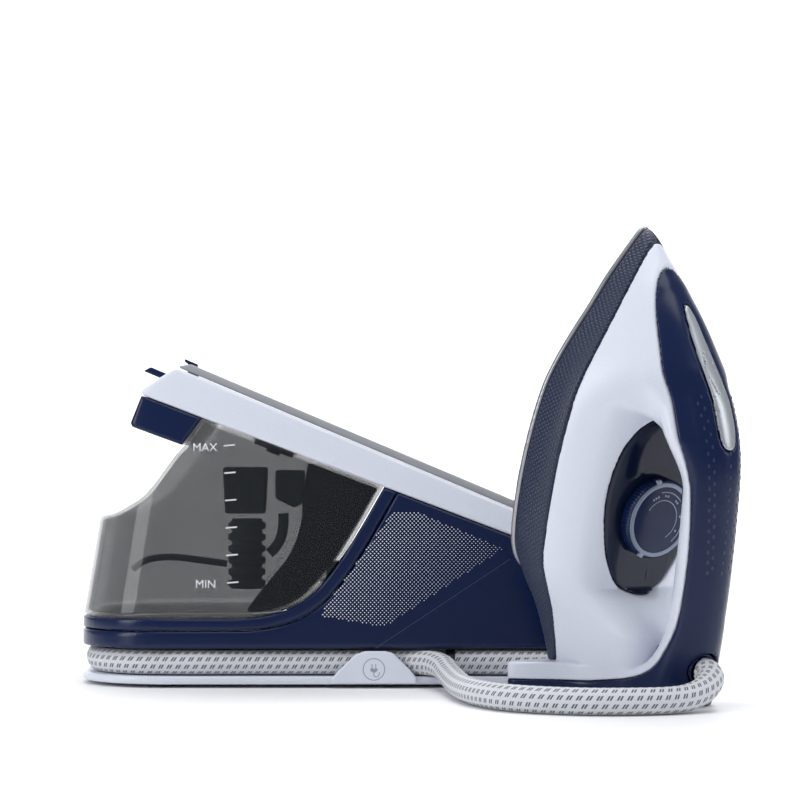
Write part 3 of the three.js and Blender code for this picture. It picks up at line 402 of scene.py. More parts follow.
def hoop(name, profile, centre, count, material, body, *nodes):
    """A ring round the handle's direction, from the (radius, height) corners of its section."""
    angle = np.arange(count) * 2 * math.pi / count
    flat = np.outer(np.cos(angle), to_tip) + np.outer(np.sin(angle), to_side)
    loops = [centre + radius * flat + height * to_handle for radius, height in profile]
    total = len(profile)
    faces = [[r * count + i, r * count + (i + 1) % count, ((r + 1) % total) * count + (i + 1) % count,
              ((r + 1) % total) * count + i] for r in range(total) for i in range(count)]
    return piece(name, np.concatenate(loops), faces, material, body, *nodes, sharp=35)


def oval(middle, first, second, count):
    """Corners of an oval whose half axes are the two given directions."""
    return [middle + math.cos(a) * first + math.sin(a) * second
            for a in np.linspace(0, 2 * math.pi, count, endpoint=False)]


def through(points, step):
    """A smooth line through places in space, in steps of about the given length."""
    p = np.array(points, float)
    s = np.concatenate([[0], np.cumsum(np.linalg.norm(np.diff(p, axis=0), axis=1))])
    tangent = np.gradient(p, s, axis=0, edge_order=2)
    out = []
    for i in range(len(p) - 1):
        span = s[i + 1] - s[i]
        count = max(2, round(span / step))
        t = (np.arange(count) / count)[:, None]
        out.append((2 * t ** 3 - 3 * t ** 2 + 1) * p[i] + (t ** 3 - 2 * t ** 2 + t) * span * tangent[i]
                   + (3 * t ** 2 - 2 * t ** 3) * p[i + 1] + (t ** 3 - t ** 2) * span * tangent[i + 1])
    return np.vstack([*out, p[-1]])


def tube(name, line, radii, material, body, *nodes, sides=24, pattern=None):
    """A round tube along a line. With a pattern (length, rows) its UV map counts stitches."""
    line = np.asarray(line, float)
    tangent = np.gradient(line, axis=0)
    tangent /= np.linalg.norm(tangent, axis=1)[:, None]
    reference = upward if abs(tangent[:, 2]).max() < 0.9 else np.array([0.0, 1.0, 0.0])
    right = np.cross(tangent, reference)
    right /= np.linalg.norm(right, axis=1)[:, None]
    top = np.cross(right, tangent)
    radii = np.broadcast_to(radii, len(line))
    angle = np.arange(sides) * 2 * math.pi / sides
    loops = [c + r * (np.outer(np.cos(angle), a) + np.outer(np.sin(angle), b))
             for c, r, a, b in zip(line, radii, right, top)]
    made = rings(name, loops, material, body, *nodes, sharp=50)
    if pattern:
        pitch, rows = pattern
        along = np.concatenate([[0], np.cumsum(np.linalg.norm(np.diff(line, axis=0), axis=1))]) / pitch
        layer = made.data.uv_layers.new(name="UVMap")
        spots = np.zeros((len(made.data.loops), 2), np.float32)
        for face in made.data.polygons:
            ids = list(face.loop_indices)
            corners = [made.data.loops[i].vertex_index for i in ids]
            columns = [c % sides for c in corners]
            wraps = max(columns) - min(columns) > sides // 2
            for i, corner, column in zip(ids, corners, columns):
                around = sides if wraps and column == 0 else column
                spots[i] = along[corner // sides], around * rows / sides
        layer.data.foreach_set("uv", spots.ravel())
    return made


def lettering(name, text, size, where, turn, material, body, thick=0.1):
    """Raised generic marks as a mesh."""
    letters = bpy.data.curves.new(name, "FONT")
    letters.body = text
    letters.size = size * MM
    letters.extrude = thick * MM / 2
    letters.align_x, letters.align_y = "CENTER", "CENTER"
    made = bpy.data.objects.new(name, letters)
    bpy.context.scene.collection.objects.link(made)
    made.matrix_world = Matrix.Translation(Vector(where) * MM) @ turn.to_4x4()
    bpy.context.view_layer.update()
    mesh = bpy.data.meshes.new_from_object(made.evaluated_get(bpy.context.evaluated_depsgraph_get()))
    mesh.transform(made.matrix_world)
    bpy.data.objects.remove(made)
    made = bpy.data.objects.new(name, mesh)
    bpy.context.scene.collection.objects.link(made)
    mesh.materials.clear()
    mesh.materials.append(material)
    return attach(made, body)


def prisms(name, shapes, material, body):
    """Many small flat prisms as one piece: each is (corner places, direction of its thickness)."""
    corners, faces = [], []
    for ring, rise in shapes:
        start, count = len(corners), len(ring)
        corners += [np.array(c) for c in ring] + [np.array(c) + rise for c in ring]
        low, high = range(start, start + count), range(start + count, start + 2 * count)
        faces += [list(low)[::-1], list(high)]
        faces += [[low[i], low[(i + 1) % count], high[(i + 1) % count], high[i]] for i in range(count)]
    return piece(name, np.array(corners), faces, material, body, sharp=30)


# ------------------------------------------------------------------ camera, light and floor
LENS = 121.5
EYE = (0.003, -1.7917, 0.150)
EYE_TILT = 1.24
ROOM_LIGHT = 0.3


def stage():
    eye = bpy.data.objects.new("camera", bpy.data.cameras.new("camera"))
    eye.data.lens = LENS
    eye.data.clip_start = 0.05
    eye.location = EYE
    eye.rotation_euler = (math.radians(90 + EYE_TILT), 0, 0)
    bpy.context.scene.collection.objects.link(eye)
    bpy.context.scene.camera = eye

    sweep = [(-2.2, 0.0), (1.6, 0.0)]
    sweep += [(1.6 + 0.9 * math.sin(a), 0.9 - 0.9 * math.cos(a)) for a in np.linspace(0.1, math.pi / 2, 14)]
    sweep += [(2.5, 4.0)]
    corners = [(x * 1000, y * 1000, z * 1000) for y, z in sweep for x in (-3.5, 3.5)]
    faces = [[2 * i, 2 * i + 1, 2 * i + 3, 2 * i + 2] for i in range(len(sweep) - 1)]
    floor = piece("floor", np.array(corners), faces,
                  moulded("floor_paper", (0.93, 0.93, 0.935), 0.6, 0.01, 300.0, 0.05), None)

    world = bpy.data.worlds.new("studio")
    bpy.context.scene.world = world
    world.use_nodes = True
    world.node_tree.nodes["Background"].inputs[0].default_value = (0.86, 0.9, 1.0, 1)
    world.node_tree.nodes["Background"].inputs[1].default_value = ROOM_LIGHT
    for name, where, target, size, power in (
            ("top", (0.1, 0.1, 1.5), (0, 0.1, 0), (1.8, 1.4), 20),
            ("left", (-1.5, -0.9, 0.8), (0, 0, 0.1), (0.6, 1.4), 12),
            ("right", (1.5, -0.7, 0.9), (0.1, 0, 0.15), (0.4, 1.3), 7),
            ("back", (0.0, 1.3, 1.9), (0, 2.4, 0.6), (3.0, 0.8), 60)):
        lamp = bpy.data.objects.new(name, bpy.data.lights.new(name, "AREA"))
        lamp.data.shape = "RECTANGLE"
        lamp.data.size, lamp.data.size_y = size
        lamp.data.energy = power
        lamp.location = where
        lamp.rotation_euler = (Vector(target) - Vector(where)).to_track_quat("-Z", "Y").to_euler()
        bpy.context.scene.collection.objects.link(lamp)
    bpy.context.scene.view_settings.view_transform = "Standard"


# ------------------------------------------------------------------ steam hose
HOSE_LEAD = [(210, -97.1, 16.4), (219, -100.5, 16.4), (229, -109.5, 16.4), (235, -122, 15), (239, -142, 11.5),
             (243, -172, 9), (247, -204, 8.4), (255, -237, 8.3), (272, -268, 8.3), (298, -287, 8.3),
             (322, -294, 8.3), (345, -293, 8.3), (363, -287.5, 8.3), (376, -280, 9.2), (384.8, -271.5, 11.8),
             (390.4, -263, 15.3), (392.8, -255.5, 18.8), (392.2, -249.5, 21.3), (389.3, -245.5, 22.6)]


def steam_hose():
    """Once round the base from its gland, then along the floor to the iron, as one smooth curve."""
    half = BASE_HALF_WIDTH - HOSE_INSET
    corner = BASE_CORNER - HOSE_INSET

    def straight(side, *stops):
        return [(x, side * half, HOSE_HEIGHT) for x in stops]

    def bend(x, y, start):
        turns = [start + step * math.pi / 8 for step in range(5)]
        return [(x + corner * math.cos(a), y + corner * math.sin(a), HOSE_HEIGHT) for a in turns]

    places = [*straight(-1, 243.3), *bend(CORNER_RIGHT, -CORNER_Y, -math.pi / 2), *bend(CORNER_RIGHT, CORNER_Y, 0),
              *straight(1, 260, 190, 120), *bend(CORNER_LEFT, CORNER_Y, math.pi / 2),
              *bend(CORNER_LEFT, -CORNER_Y, math.pi), *straight(-1, 110, 160, 205)]
    line = through([*places, *HOSE_LEAD], 3.0) + BASE_PLACE
    made = tube("steam_hose", line, HOSE_RADIUS, WOVEN, None, "hose_wrap", "hose_lead", pattern=(5.4, 10))
    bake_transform(made)
    return made


# ------------------------------------------------------------------ base station
def base_distance(room, margin=0.0, lean=0.0):
    """Distance to the base's rounded outline moved in by the margin; lean moves its left end in with height."""
    left = BASE_LEFT + margin + lean
    half_length = (BASE_LENGTH - margin - left) / 2
    middle = left + half_length
    wide = np.abs(room.y) / (1 - BASE_DRAFT * room.z)
    radius = BASE_CORNER - margin
    ax = np.abs(room.x - middle) - (half_length - radius)
    ay = wide - (BASE_HALF_WIDTH - margin - radius)
    return np.hypot(np.maximum(ax, 0), np.maximum(ay, 0)) + np.minimum(np.maximum(ax, ay), 0) - radius


def side_width(z):
    """Half width of the base at a height."""
    return BASE_HALF_WIDTH * (1 - BASE_DRAFT * z)


def under_rest(x):
    return 191.9 - 0.379 * (x - REST_LEFT)


def over_rest(x):
    return 210 - 0.421 * (x - 60)


def bay_curve(offset):
    """The curve between the tank's lower right edge and the rest; offset 0 is the tank's wall."""
    top = 196 + 1.1 * offset
    p = np.array([(100, 45.5 - offset), (150 + 0.85 * offset, 46.5 - offset),
                  (160 + offset, 68 - 0.6 * offset), (top, under_rest(top) - SEAM)])
    t = np.linspace(0, 1, 40)[:, None]
    return (1 - t) ** 3 * p[0] + 3 * t * (1 - t) ** 2 * p[1] + 3 * t ** 2 * (1 - t) * p[2] + t ** 3 * p[3]


def base_room(low, high, step):
    return Room(low, high, step, BASE_TURN, BASE_PLACE)


def base_ring(margin, height, count=20):
    """The rounded outline as a ring of places."""
    radius = BASE_CORNER - margin
    places = []
    for x, y, start in ((CORNER_RIGHT, -CORNER_Y, -90), (CORNER_RIGHT, CORNER_Y, 0),
                        (CORNER_LEFT, CORNER_Y, 90), (CORNER_LEFT, -CORNER_Y, 180)):
        for a in np.radians(np.linspace(start, start + 90, count)):
            places.append((x + radius * math.cos(a), y + radius * math.sin(a), height))
    return np.array(places) + BASE_PLACE


def tray():
    profile = [(6, 2.3), (2.2, 2.4), (0.9, 2.8), (0.25, 3.6), (0.05, 4.6), (0.05, 6.0), (0.3, 7.0), (1.0, 7.55),
               (2.0, 7.7), (19.0, 7.7), (20.2, 8.2), (20.5, 9.4), (20.5, 24.2), (20.8, 24.9), (21.4, 25.2),
               (22.6, 25.2), (23, 24.8), (23, 9.0), (24.5, 7.7)]
    rings("tray", [base_ring(m, z) for m, z in profile], WHITE, "base", "bottom_tray")


def housing():
    room = base_room((-10, -110, 22), (388, 110, 130), 1.3)
    right = under_rest(BASE_LENGTH) - SEAM - 2
    top = [(-30, 300), (-30, 36.7), *bay_curve(8.5), (400, under_rest(400) - SEAM), (400, 300)]
    form = both(-room.side(np.array(top)), base_distance(room), 2.2)
    form = both(form, room.z - np.where(room.x < 300, right + 200, right), 1.0)
    shell = without(both(form, 25.5 - room.z, 1.6), form + 2.6, 0.6)
    panel = np.maximum(np.maximum(np.abs(room.y) - 34.4, np.abs(room.z - CONTROL_HEIGHT) - 11.4), 378 - room.x)
    room.solid("housing", without(shell, panel, 0.8), NAVY, "base", "base_housing")


def tank_field(room):
    """Distance to the tank's outer form, whose left end leans in over its neck."""
    neck = curve([(8, 112.2), (16, 113.6), (24, 117), (36, 124), (44, 132), (52, 142.5), (59, 152),
                  (65, 158.2)], 40)
    corners = [(-40, 45.5), (-40, 109.8), (6.4, 111.6), *neck, (77.6, under_rest(77.6) - SEAM),
               *bay_curve(0)[::-1]]
    lean = 0.4 + np.maximum(room.z - 47.5, 0) * 0.163
    return both(room.side(np.array(corners)), base_distance(room, 0.3, lean), 2.4)


def tank():
    room = base_room((-10, -110, 42), (205, 110, 182), 1.25)
    form = tank_field(room)
    filler = np.hypot(room.x - FILLER[0], room.y - FILLER[1]) - FILLER[2]
    spigot = np.hypot(room.y, room.z - SPIGOT_HEIGHT) - SPIGOT_RADIUS
    shell = without(form, form + TANK_WALL, 0.5)
    shell = without(without(shell, np.maximum(filler, 150 - room.z), 0.6), np.maximum(spigot, 150 - room.x), 0.6)
    room.solid("tank_shell_clear", shell, SMOKE, "tank", "tank_shell")

    room = base_room((-10, -110, 34), (212, 110, 130), 1.25)
    band = room.side(np.array([(-30, 45.2), *bay_curve(0.3), *bay_curve(8.2)[::-1], (-30, 37)]))
    outer = base_distance(room, 0.1)
    ring = without(both(band, outer, 1.6), np.maximum(outer + 8.2, room.x - 178), 1.0)
    room.solid("tank_frame", ring, NAVY, "tank", "tank_collar")

    room = base_room((26, -105, 156), (80, 105, 195), 1.0)
    grip = room.side(np.array([(REST_LEFT, under_rest(REST_LEFT) - SEAM), (76.6, under_rest(76.6) - SEAM),
                               (63.4, 158.8), (30.2, 170.8), (29, 173.2)]))
    room.solid("tank_handle", both(grip, base_distance(room), 2.4), NAVY, "tank", "tank_grip")


def rest():
    room = base_room((32, -108, 54), (388, 108, 213), 1.3)
    corners = [(REST_LEFT, 192.0), (REST_LEFT, 195.2), (57, 208.6), (60, 209.7), (400, over_rest(400)),
               (400, under_rest(400))]
    form = both(room.side(np.array(corners)), base_distance(room), 2.6)
    slot = room.side(np.array([(30, over_rest(30) - 6.8), (150, over_rest(150) - 6.8),
                               (150, over_rest(150) - 13), (30, over_rest(30) - 13)]))
    hook = np.maximum(np.abs(room.y) - 6.5, np.abs(room.x - 66.5) - 9.5)
    form = without(form, np.minimum(np.maximum(slot, np.abs(room.y) - 12.6), hook), 0.8)
    room.solid("rest", form, WHITE, "base", "rest_frame")

    room = base_room((58, -106, 70), (374, 106, 218), 1.3)
    corners = [(60.5, over_rest(60.5) + 0.3), (371, over_rest(371) + 0.3), (371, over_rest(371) + 6),
               (69, over_rest(69) + 6), (61, over_rest(61) + 1.6)]
    form = both(room.side(np.array(corners)), base_distance(room, 3.5), 1.2)
    hook = np.maximum(np.abs(room.y) - 6.5, np.abs(room.x - 66.5) - 9.5)
    room.solid("mat", without(form, hook, 0.8), MAT_GREY, "base", "rest_mat")

    room = base_room((28, -14, 176), (100, 14, 221), 0.6)
    bar = room.side(np.array([(35, over_rest(35) - 7.4), (96, over_rest(96) - 7.4), (96, over_rest(96) - 12.4),
                              (30, over_rest(30) - 12.4)]))
    bar = both(bar, np.abs(room.y) - 12, 1.0)
    claw = room.side(np.array([(60, 196), (60, 215.6), (58, 216.6), (58, 219), (67, 215.2), (67, 192)]))
    claw = both(claw, np.abs(room.y) - 5.5, 0.8)
    room.solid("lock", either(bar, claw, 1.0), NAVY, "lock", "lock_slider")


def clip():
    front = -BASE_HALF_WIDTH - 0.3
    room = base_room((158, -112, 0), (222, -106, 28), 0.5)
    face = room.side(np.array([(162, 3), (218, 3), (218, 7.2), (213, 13), (203, 23), (198, 24.6), (184, 24.6),
                               (178, 22.5), (167, 12), (162, 6.5)]))
    plate = both(face + 0.3, np.abs(room.y - front + 1) - 1.15, 1.2)
    room.solid("clip", plate - 0.1, WHITE, "base", "hose_clip")

    room = base_room((180, -111.2, 2), (200, -109.2, 24), 0.25)
    x, z = room.x - 190, room.z - 12.6
    ring = np.abs(np.hypot(x, z) - 7) - 0.4
    cap = both(np.hypot(x, z - 0.4) - 2.6, z - 0.6, 0.3)
    pins = np.maximum(np.abs(np.abs(x) - 1.2) - 0.38, np.abs(z - 2.0) - 1.6)
    lead = room.side(curve([(190, 10.5), (190, 8.6), (191.6, 7.6), (193.2, 8.6), (193.6, 10.6)], 20), False) - 0.38
    mark = np.minimum(np.minimum(ring, cap), np.minimum(pins, lead))
    room.solid("clip_mark", np.maximum(mark, np.abs(room.y - front + 2.1) - 0.25), PRINT_GREY, "base")


def side_dots():
    """Printed diamonds on both long sides, bigger towards the tank, in slanted staggered rows."""
    corners = np.array([(206, 120), (275, 91), (197, 40), (154, 47)])
    pitch = 2.55
    shapes = []
    for side in (-1, 1):
        for row in range(-10, 60):
            for column in range(-10, 60):
                x = 150 + (column + 0.5 * (row % 2)) * pitch * 1.02
                z = 36 + row * pitch * 0.52
                if outline_distance(np.array([x]), np.array([z]), corners)[0] > 0:
                    continue
                fade = (275 - x) / 125 * 0.65 + (z - 40) / 80 * 0.35
                size = 0.24 + 0.52 * min(1.0, max(0.0, fade))
                centre = BASE_PLACE + np.array([x, side * (side_width(z) + 0.02), z])
                ring = [centre + np.array(c) * size for c in ((1, 0, 0), (0, 0, 0.85), (-1, 0, 0), (0, 0, -0.85))]
                shapes.append((ring[::side], np.array([0, side * 0.12, 0])))
    prisms("side_dots", shapes, PRINT, "base")


def side_crease():
    """The fine slanted line under the dots, painted lighter than the navy as a painted highlight along the crease."""
    shapes = []
    for side in (-1, 1):
        line = [BASE_PLACE + np.array([x, side * (side_width(z) + 0.02), z])
                for x, z in ((191, 25.6), (279, 83.6), (279, 84.4), (191, 26.4))]
        shapes.append((line[::side], np.array([0, side * 0.15, 0])))
    prisms("side_crease", shapes, PAINTED_HIGHLIGHT_NAVY, "base")


def tank_marks():
    """Level ticks from full to empty, with the words at both ends."""
    shapes = []
    for step in range(6):
        z = 158.6 - step * 17.95
        x = 94.8 + 0.55 * step
        ring = [BASE_PLACE + np.array([x + a, SEAM - side_width(z) - 0.02, z + b])
                for a, b in ((-3.7, -0.75), (3.7, -0.15), (3.7, 0.75), (-3.7, 0.15))]
        shapes.append((ring, np.array([0, -0.12, 0])))
    prisms("tank_ticks", shapes, PRINT, "tank")
    front = Matrix.Rotation(math.radians(90), 3, "X")
    for name, text, x, z in (("mark_max", "MAX", 78.8, 157), ("mark_min", "MIN", 79.8, 67.5)):
        place = BASE_PLACE + np.array([x, SEAM - side_width(z) - 0.08, z])
        lettering(name, text, 7.6, place, front, PRINT, "tank")


def tank_inside():
    room = base_room((82, -18, 108), (118, 18, 148), 0.8)
    taper = (room.z - 112) * 0.05
    ribs = 0.8 * np.cos(room.y * 2 * math.pi / 5) + 0.8 * np.cos((room.x - 100) * 2 * math.pi / 5)
    cap = both(np.abs(room.x - 100) - 13.6 - taper, np.abs(room.y) - 13 - taper, 3) + 0.35 * ribs
    for i in range(-2, 3):
        cap = without(cap, np.hypot(room.x - 100 - 5 * i, room.y + 15.5) - 1.1, 0.4)
    room.solid("filter_cap", both(cap, np.abs(room.z - 128) - 16, 2), INSIDE, "tank", "cartridge_cap")
    room = base_room((118, -16, 108), (146, 16, 146), 0.8)
    outlet = both(np.abs(room.x - 131) - 10, np.abs(room.y) - 13, 3)
    step = both(np.abs(room.z - 127) - 15, 120 - room.z + np.abs(room.x - 134) * 0.5 - 4, 2)
    room.solid("outlet_cap", both(outlet, step, 2), INSIDE, "tank", "outlet_block")
    profile = [(10.4, 60)]
    for i in range(6):
        profile += [(11.5, 61 + 8 * i), (12.9, 62 + 8 * i), (12.9, 65.5 + 8 * i), (10.6, 66.5 + 8 * i),
                    (10.4, 68.4 + 8 * i)]
    turned("filter_column", profile, BASE_PLACE + (101, 0, 0), (0, 0, 1), (1, 0, 0), INSIDE, "tank",
           "filter_cartridge", count=48)
    places = [(126, 0, 112), (126, 0, 103), (124, 0, 94), (119.8, 0, 87.5), (116.5, 0, 84.4)]
    tube("suction_hose", through(places, 2) + BASE_PLACE, 3.6, INSIDE, "tank", "suction_tube", sides=16)
    places = [(22, 0, 73), (27, 0, 77.4), (36, 0, 80.8), (47, 0, 81.8), (66, 0, 80), (87.2, 0, 77)]
    tube("inlet_hose", through(places, 2) + BASE_PLACE, 2.4, INSIDE, "tank", "intake_hose", sides=16)


def partition():
    """The dark chamber at the tank's inner end."""
    room = base_room((100, -108, 46), (196, 108, 160), 1.3)
    clear = 3.1
    edge = curve([(147, 152), (143, 124), (142, 108), (135, 88), (122, 71), (112, 58.5), (106, 50)], 50)
    bay = bay_curve(-clear)
    form = room.side(np.array([*edge, *bay[bay[:, 0] > 110], (240, under_rest(240)), (147, 200)]))
    under = room.z - (under_rest(room.x) - clear)
    form = both(both(form, base_distance(room, clear), 3.0), under, 1.5)
    spigot = np.hypot(room.y, room.z - SPIGOT_HEIGHT) - SPIGOT_RADIUS
    wall = without(without(form, form + 2.2, 0.4), spigot, 0.6)
    room.solid("partition", wall, CHAMBER, "tank", "tank_partition")


def control_end():
    """Panel at the base's end with its two round buttons."""
    end = BASE_LENGTH
    room = base_room((380, -36, 32), (387, 36, 58), 0.6)
    plate = both(np.abs(room.y) - 34, np.abs(room.z - CONTROL_HEIGHT) - 11, 3)
    plate = both(plate, np.abs(room.x - end + 1.5) - 1.5, 0.8)
    for y in (-BUTTON_Y, BUTTON_Y):
        plate = without(plate, np.hypot(room.y - y, room.z - CONTROL_HEIGHT) - 8.3, 0.8)
    room.solid("panel", plate, DARK_NAVY, "base", "control_panel")
    profile = [(7.9, -5), (7.9, 1.2), (7.6, 1.9), (7.0, 2.3), (6.2, 2.4), (5.0, 2.1), (2.5, 1.95), (0.5, 1.9)]
    for name, y, body, node_name in (("power_cap", -BUTTON_Y, "power_switch", "power_button"),
                                     ("eco_cap", BUTTON_Y, "eco_switch", "eco_button")):
        centre = BASE_PLACE + np.array([end, y, CONTROL_HEIGHT])
        turned(name, profile, centre, (1, 0, 0), (0, 1, 0), SILVER, body, node_name, count=64)
        arc = [centre + (2.15, 3 * math.sin(a), 3 * math.cos(a)) for a in np.linspace(0.6, 2 * math.pi - 0.6, 30)]
        tube(name + "_mark", np.array(arc), 0.25, PRINT_GREY, body, sides=8)


# ------------------------------------------------------------------ iron
RIDGE = [(223, 4), (218, 13), (204, 27.5), (190, 43.5), (173, 63), (150, 83), (127, 100.6), (109, 112.7),
         (90, 119), (60, 124), (24, 127.6), (-5, 128.6), (-29, 128.4), (-60, 129)]
SOLE_EDGE = [(220.5, 0), (219, 3), (210, 9.4), (189, 22.8), (170, 32.8), (154, 41.8), (136, 51), (117, 58),
             (90, 62.4), (60, 64.2), (30, 62.8), (12, 58.8), (1, 50), (-5, 35), (-7, 0)]
BODY_EDGE = [(221, 0), (219.5, 3), (210.5, 9.8), (189, 23.3), (170, 33.3), (154, 42.3), (136, 51.5), (117, 58.5),
             (90, 62.9), (60, 64.6), (30, 63.2), (12, 59.3), (-5, 51), (-25, 40), (-45, 31), (-62, 26), (-95, 23)]
DECK_EDGE = [(113, 0), (111, 10), (104, 22), (92, 30.5), (78, 34.5), (62, 36), (45, 34.5), (25, 29.5), (10, 21.5),
             (3, 14), (0.5, 6), (0, 0)]
INLAY_EDGE = [(182, 0), (181, 2), (174, 4), (160, 5.4), (145, 6.2), (130, 6.6), (118, 6.6), (111, 5.2), (108, 3),
              (107, 0)]
HEEL_EDGE = [(8, 0), (8.3, 36), (10.5, 47), (17, 52.5), (26, 48), (40, 34), (56, 25), (80, 19), (92, 17),
             (100, 14), (105, 9), (107.4, 4), (108, 0)]
GRIP_LINE = [(182, 36), (173, 47), (150, 66), (127, 83), (109, 94), (90, 100.4), (60, 105.4), (24, 109.6),
             (-5, 111.2), (-29, 110.4), (-58, 108), (-110, 103)]
# Side view of the line where navy meets white: from the nose along the grip and round into the foot.
PARTING = [(250, 31.5), (214, 30), (206, 29), (201.2, 29), (197.7, 30.7), (192.2, 34.4), (180.4, 42.3),
           (167.2, 52.4), (152.5, 64), (136.9, 75.4), (119.1, 86), (101.4, 96), (86, 102.6), (78.8, 105.2),
           (59.5, 110.2), (39.9, 113.5), (16.6, 115.4), (4.1, 115.4), (-6.8, 114.4), (-15.6, 112.6), (-26.3, 108.6),
           (-35.9, 100.5), (-43, 89.5), (-49, 76.5), (-54, 64), (-59.3, 50), (-66.4, 25), (-73.5, 0), (-80.7, -25),
           (-92, -64)]
# Side view of the line where the white body meets the navy skirt.
SEAM_LINE = [(225, 14), (211, 16.5), (207, 17.4), (199, 19), (186, 21.6), (170, 23.6), (150, 26.2), (129, 28.2),
             (110, 29.3), (92, 29.7), (61, 30), (35, 29.8), (14, 28.4), (-10, 25.5), (-34, 22.5), (-56, 21),
             (-110, 16)]
GAP_TOP = [(1, 62), (1, 70), (6, 84), (18, 92.5), (40, 94.5), (66, 92.5), (86, 86.5), (100, 78), (110, 67),
           (114, 60)]


def smoothstep(value, start, end):
    t = np.clip((value - start) / (end - start), 0, 1)
    return t * t * (3 - 2 * t)


class Iron:
    """The iron's outer forms on one grid, shared by its pieces: x to the tip, y wide, z to the handle."""

    def __init__(self, step):
        room = self.room = Room((-100, -68, -2), (222, 68, 132), step, IRON_TURN, IRON_PLACE)
        self.above = room.side(np.array([*curve(PARTING, 90), (-110, -150), (-250, -150), (-250, 300), (250, 300)]))
        self.up = (room.x + HEEL_REACH) * math.cos(IRON_LEAN) - room.z * math.sin(IRON_LEAN)
        self.body = self.lower_body(step)
        self.bar = self.grip_bar()
        over = (room.x + HEEL_REACH) * math.sin(IRON_LEAN) + room.z * math.cos(IRON_LEAN)
        plate_top = 23 - 11 * smoothstep(over, 66, 112)
        foot = both(self.foot(over, HEEL_EDGE), self.up - plate_top, 2.2)
        self.whole = either(self.bar, self.body, 9.0)
        self.standing = np.minimum(self.whole, either(self.bar, foot, 44.0))

    def lower_body(self, step):
        """The body over the sole: a low dome under the hand, rising into the nose and the heel post."""
        room = self.room
        length, height = room.x[:, :, 0], room.z[0]
        edge = curve(BODY_EDGE)[::-1]
        half = np.interp(length, edge[:, 0], edge[:, 1])
        ridge_line = curve(RIDGE)[::-1]
        ridge = np.interp(length, ridge_line[:, 0], ridge_line[:, 1])
        nose = smoothstep(length, 98, 150)
        post = 1 - smoothstep(length, -24, 16)
        tall = np.maximum(height, 0)
        square = half ** 2 * ((1 - nose - post) * (1 - (tall / 66) ** 2.6)
                              + nose * (1 - (tall / (ridge + 2)) ** 1.5)
                              + post * (0.86 - 0.3 * smoothstep(tall, 25, 85)) * (1 - (tall / 150) ** 1.6))
        slope_l, slope_h = np.gradient(square, step)
        square, steep = square[:, None, :], np.hypot(slope_l, slope_h)[:, None, :]
        body = (room.y ** 2 - square) / np.sqrt(4 * room.y ** 2 + steep ** 2 + 1)
        body = both(body, room.plan(both_sides(BODY_EDGE)), 2.0)
        ridge_side = np.array([(-140, -60), (230, -60), *curve(RIDGE), (-140, 129)])
        body = both(body, room.side(ridge_side), 6.0)
        gap = room.side(np.array([*curve(GAP_TOP, 60), (115, DECK_HEIGHT), (3, DECK_HEIGHT)]))
        low_back = room.z - 4.3 - np.clip(-7 - room.x, 0, 200) * 0.16
        body = without(body, gap, 9.0)
        lid = room.side(np.array([(-140, 86), (60, 88), (84, 84), (104, 79), (122, 104), (124, 300),
                                  (-140, 300)]))
        body = without(body, lid, 14.0)
        return both(body, -low_back, 2.5)

    def grip_bar(self):
        """The oval bar of the grip, its lower half slimmer along the hand gap and fuller at the nose."""
        room = self.room
        away = room.side(curve(GRIP_LINE, 160), False)
        level = np.array(GRIP_LINE[::-1])
        under = smoothstep(np.interp(room.x, level[:, 0], level[:, 1]) - room.z, -10, 12)
        swell = (1.4 * smoothstep(room.x, 76, 113) - 0.4) * under
        sink = 12 * smoothstep(room.x, 132, 172)
        deep, wide = GRIP_DEEP + 7 * swell, GRIP_WIDE + 9 * swell
        return (np.sqrt((away / deep) ** 2 + (room.y / wide) ** 2) - 1) * 18.4 + sink

    def foot(self, over, edge):
        """Distance to a foot outline that is drawn in the heel plane."""
        table = np.arange(-60, 200, 1.0)
        wide = np.arange(0, 110, 1.0)
        flat = outline_distance(table[:, None], wide[None, :], both_sides(edge))
        a, w = np.broadcast_arrays(over + 60, np.abs(self.room.y))
        a, w = np.clip(a, 0, 258.9), np.clip(w, 0, 108.9)
        i, j = a.astype(int), w.astype(int)
        f, g = a - i, w - j
        return ((flat[i, j] * (1 - f) + flat[i + 1, j] * f) * (1 - g)
                + (flat[i, j + 1] * (1 - f) + flat[i + 1, j + 1] * f) * g).astype(np.float32)


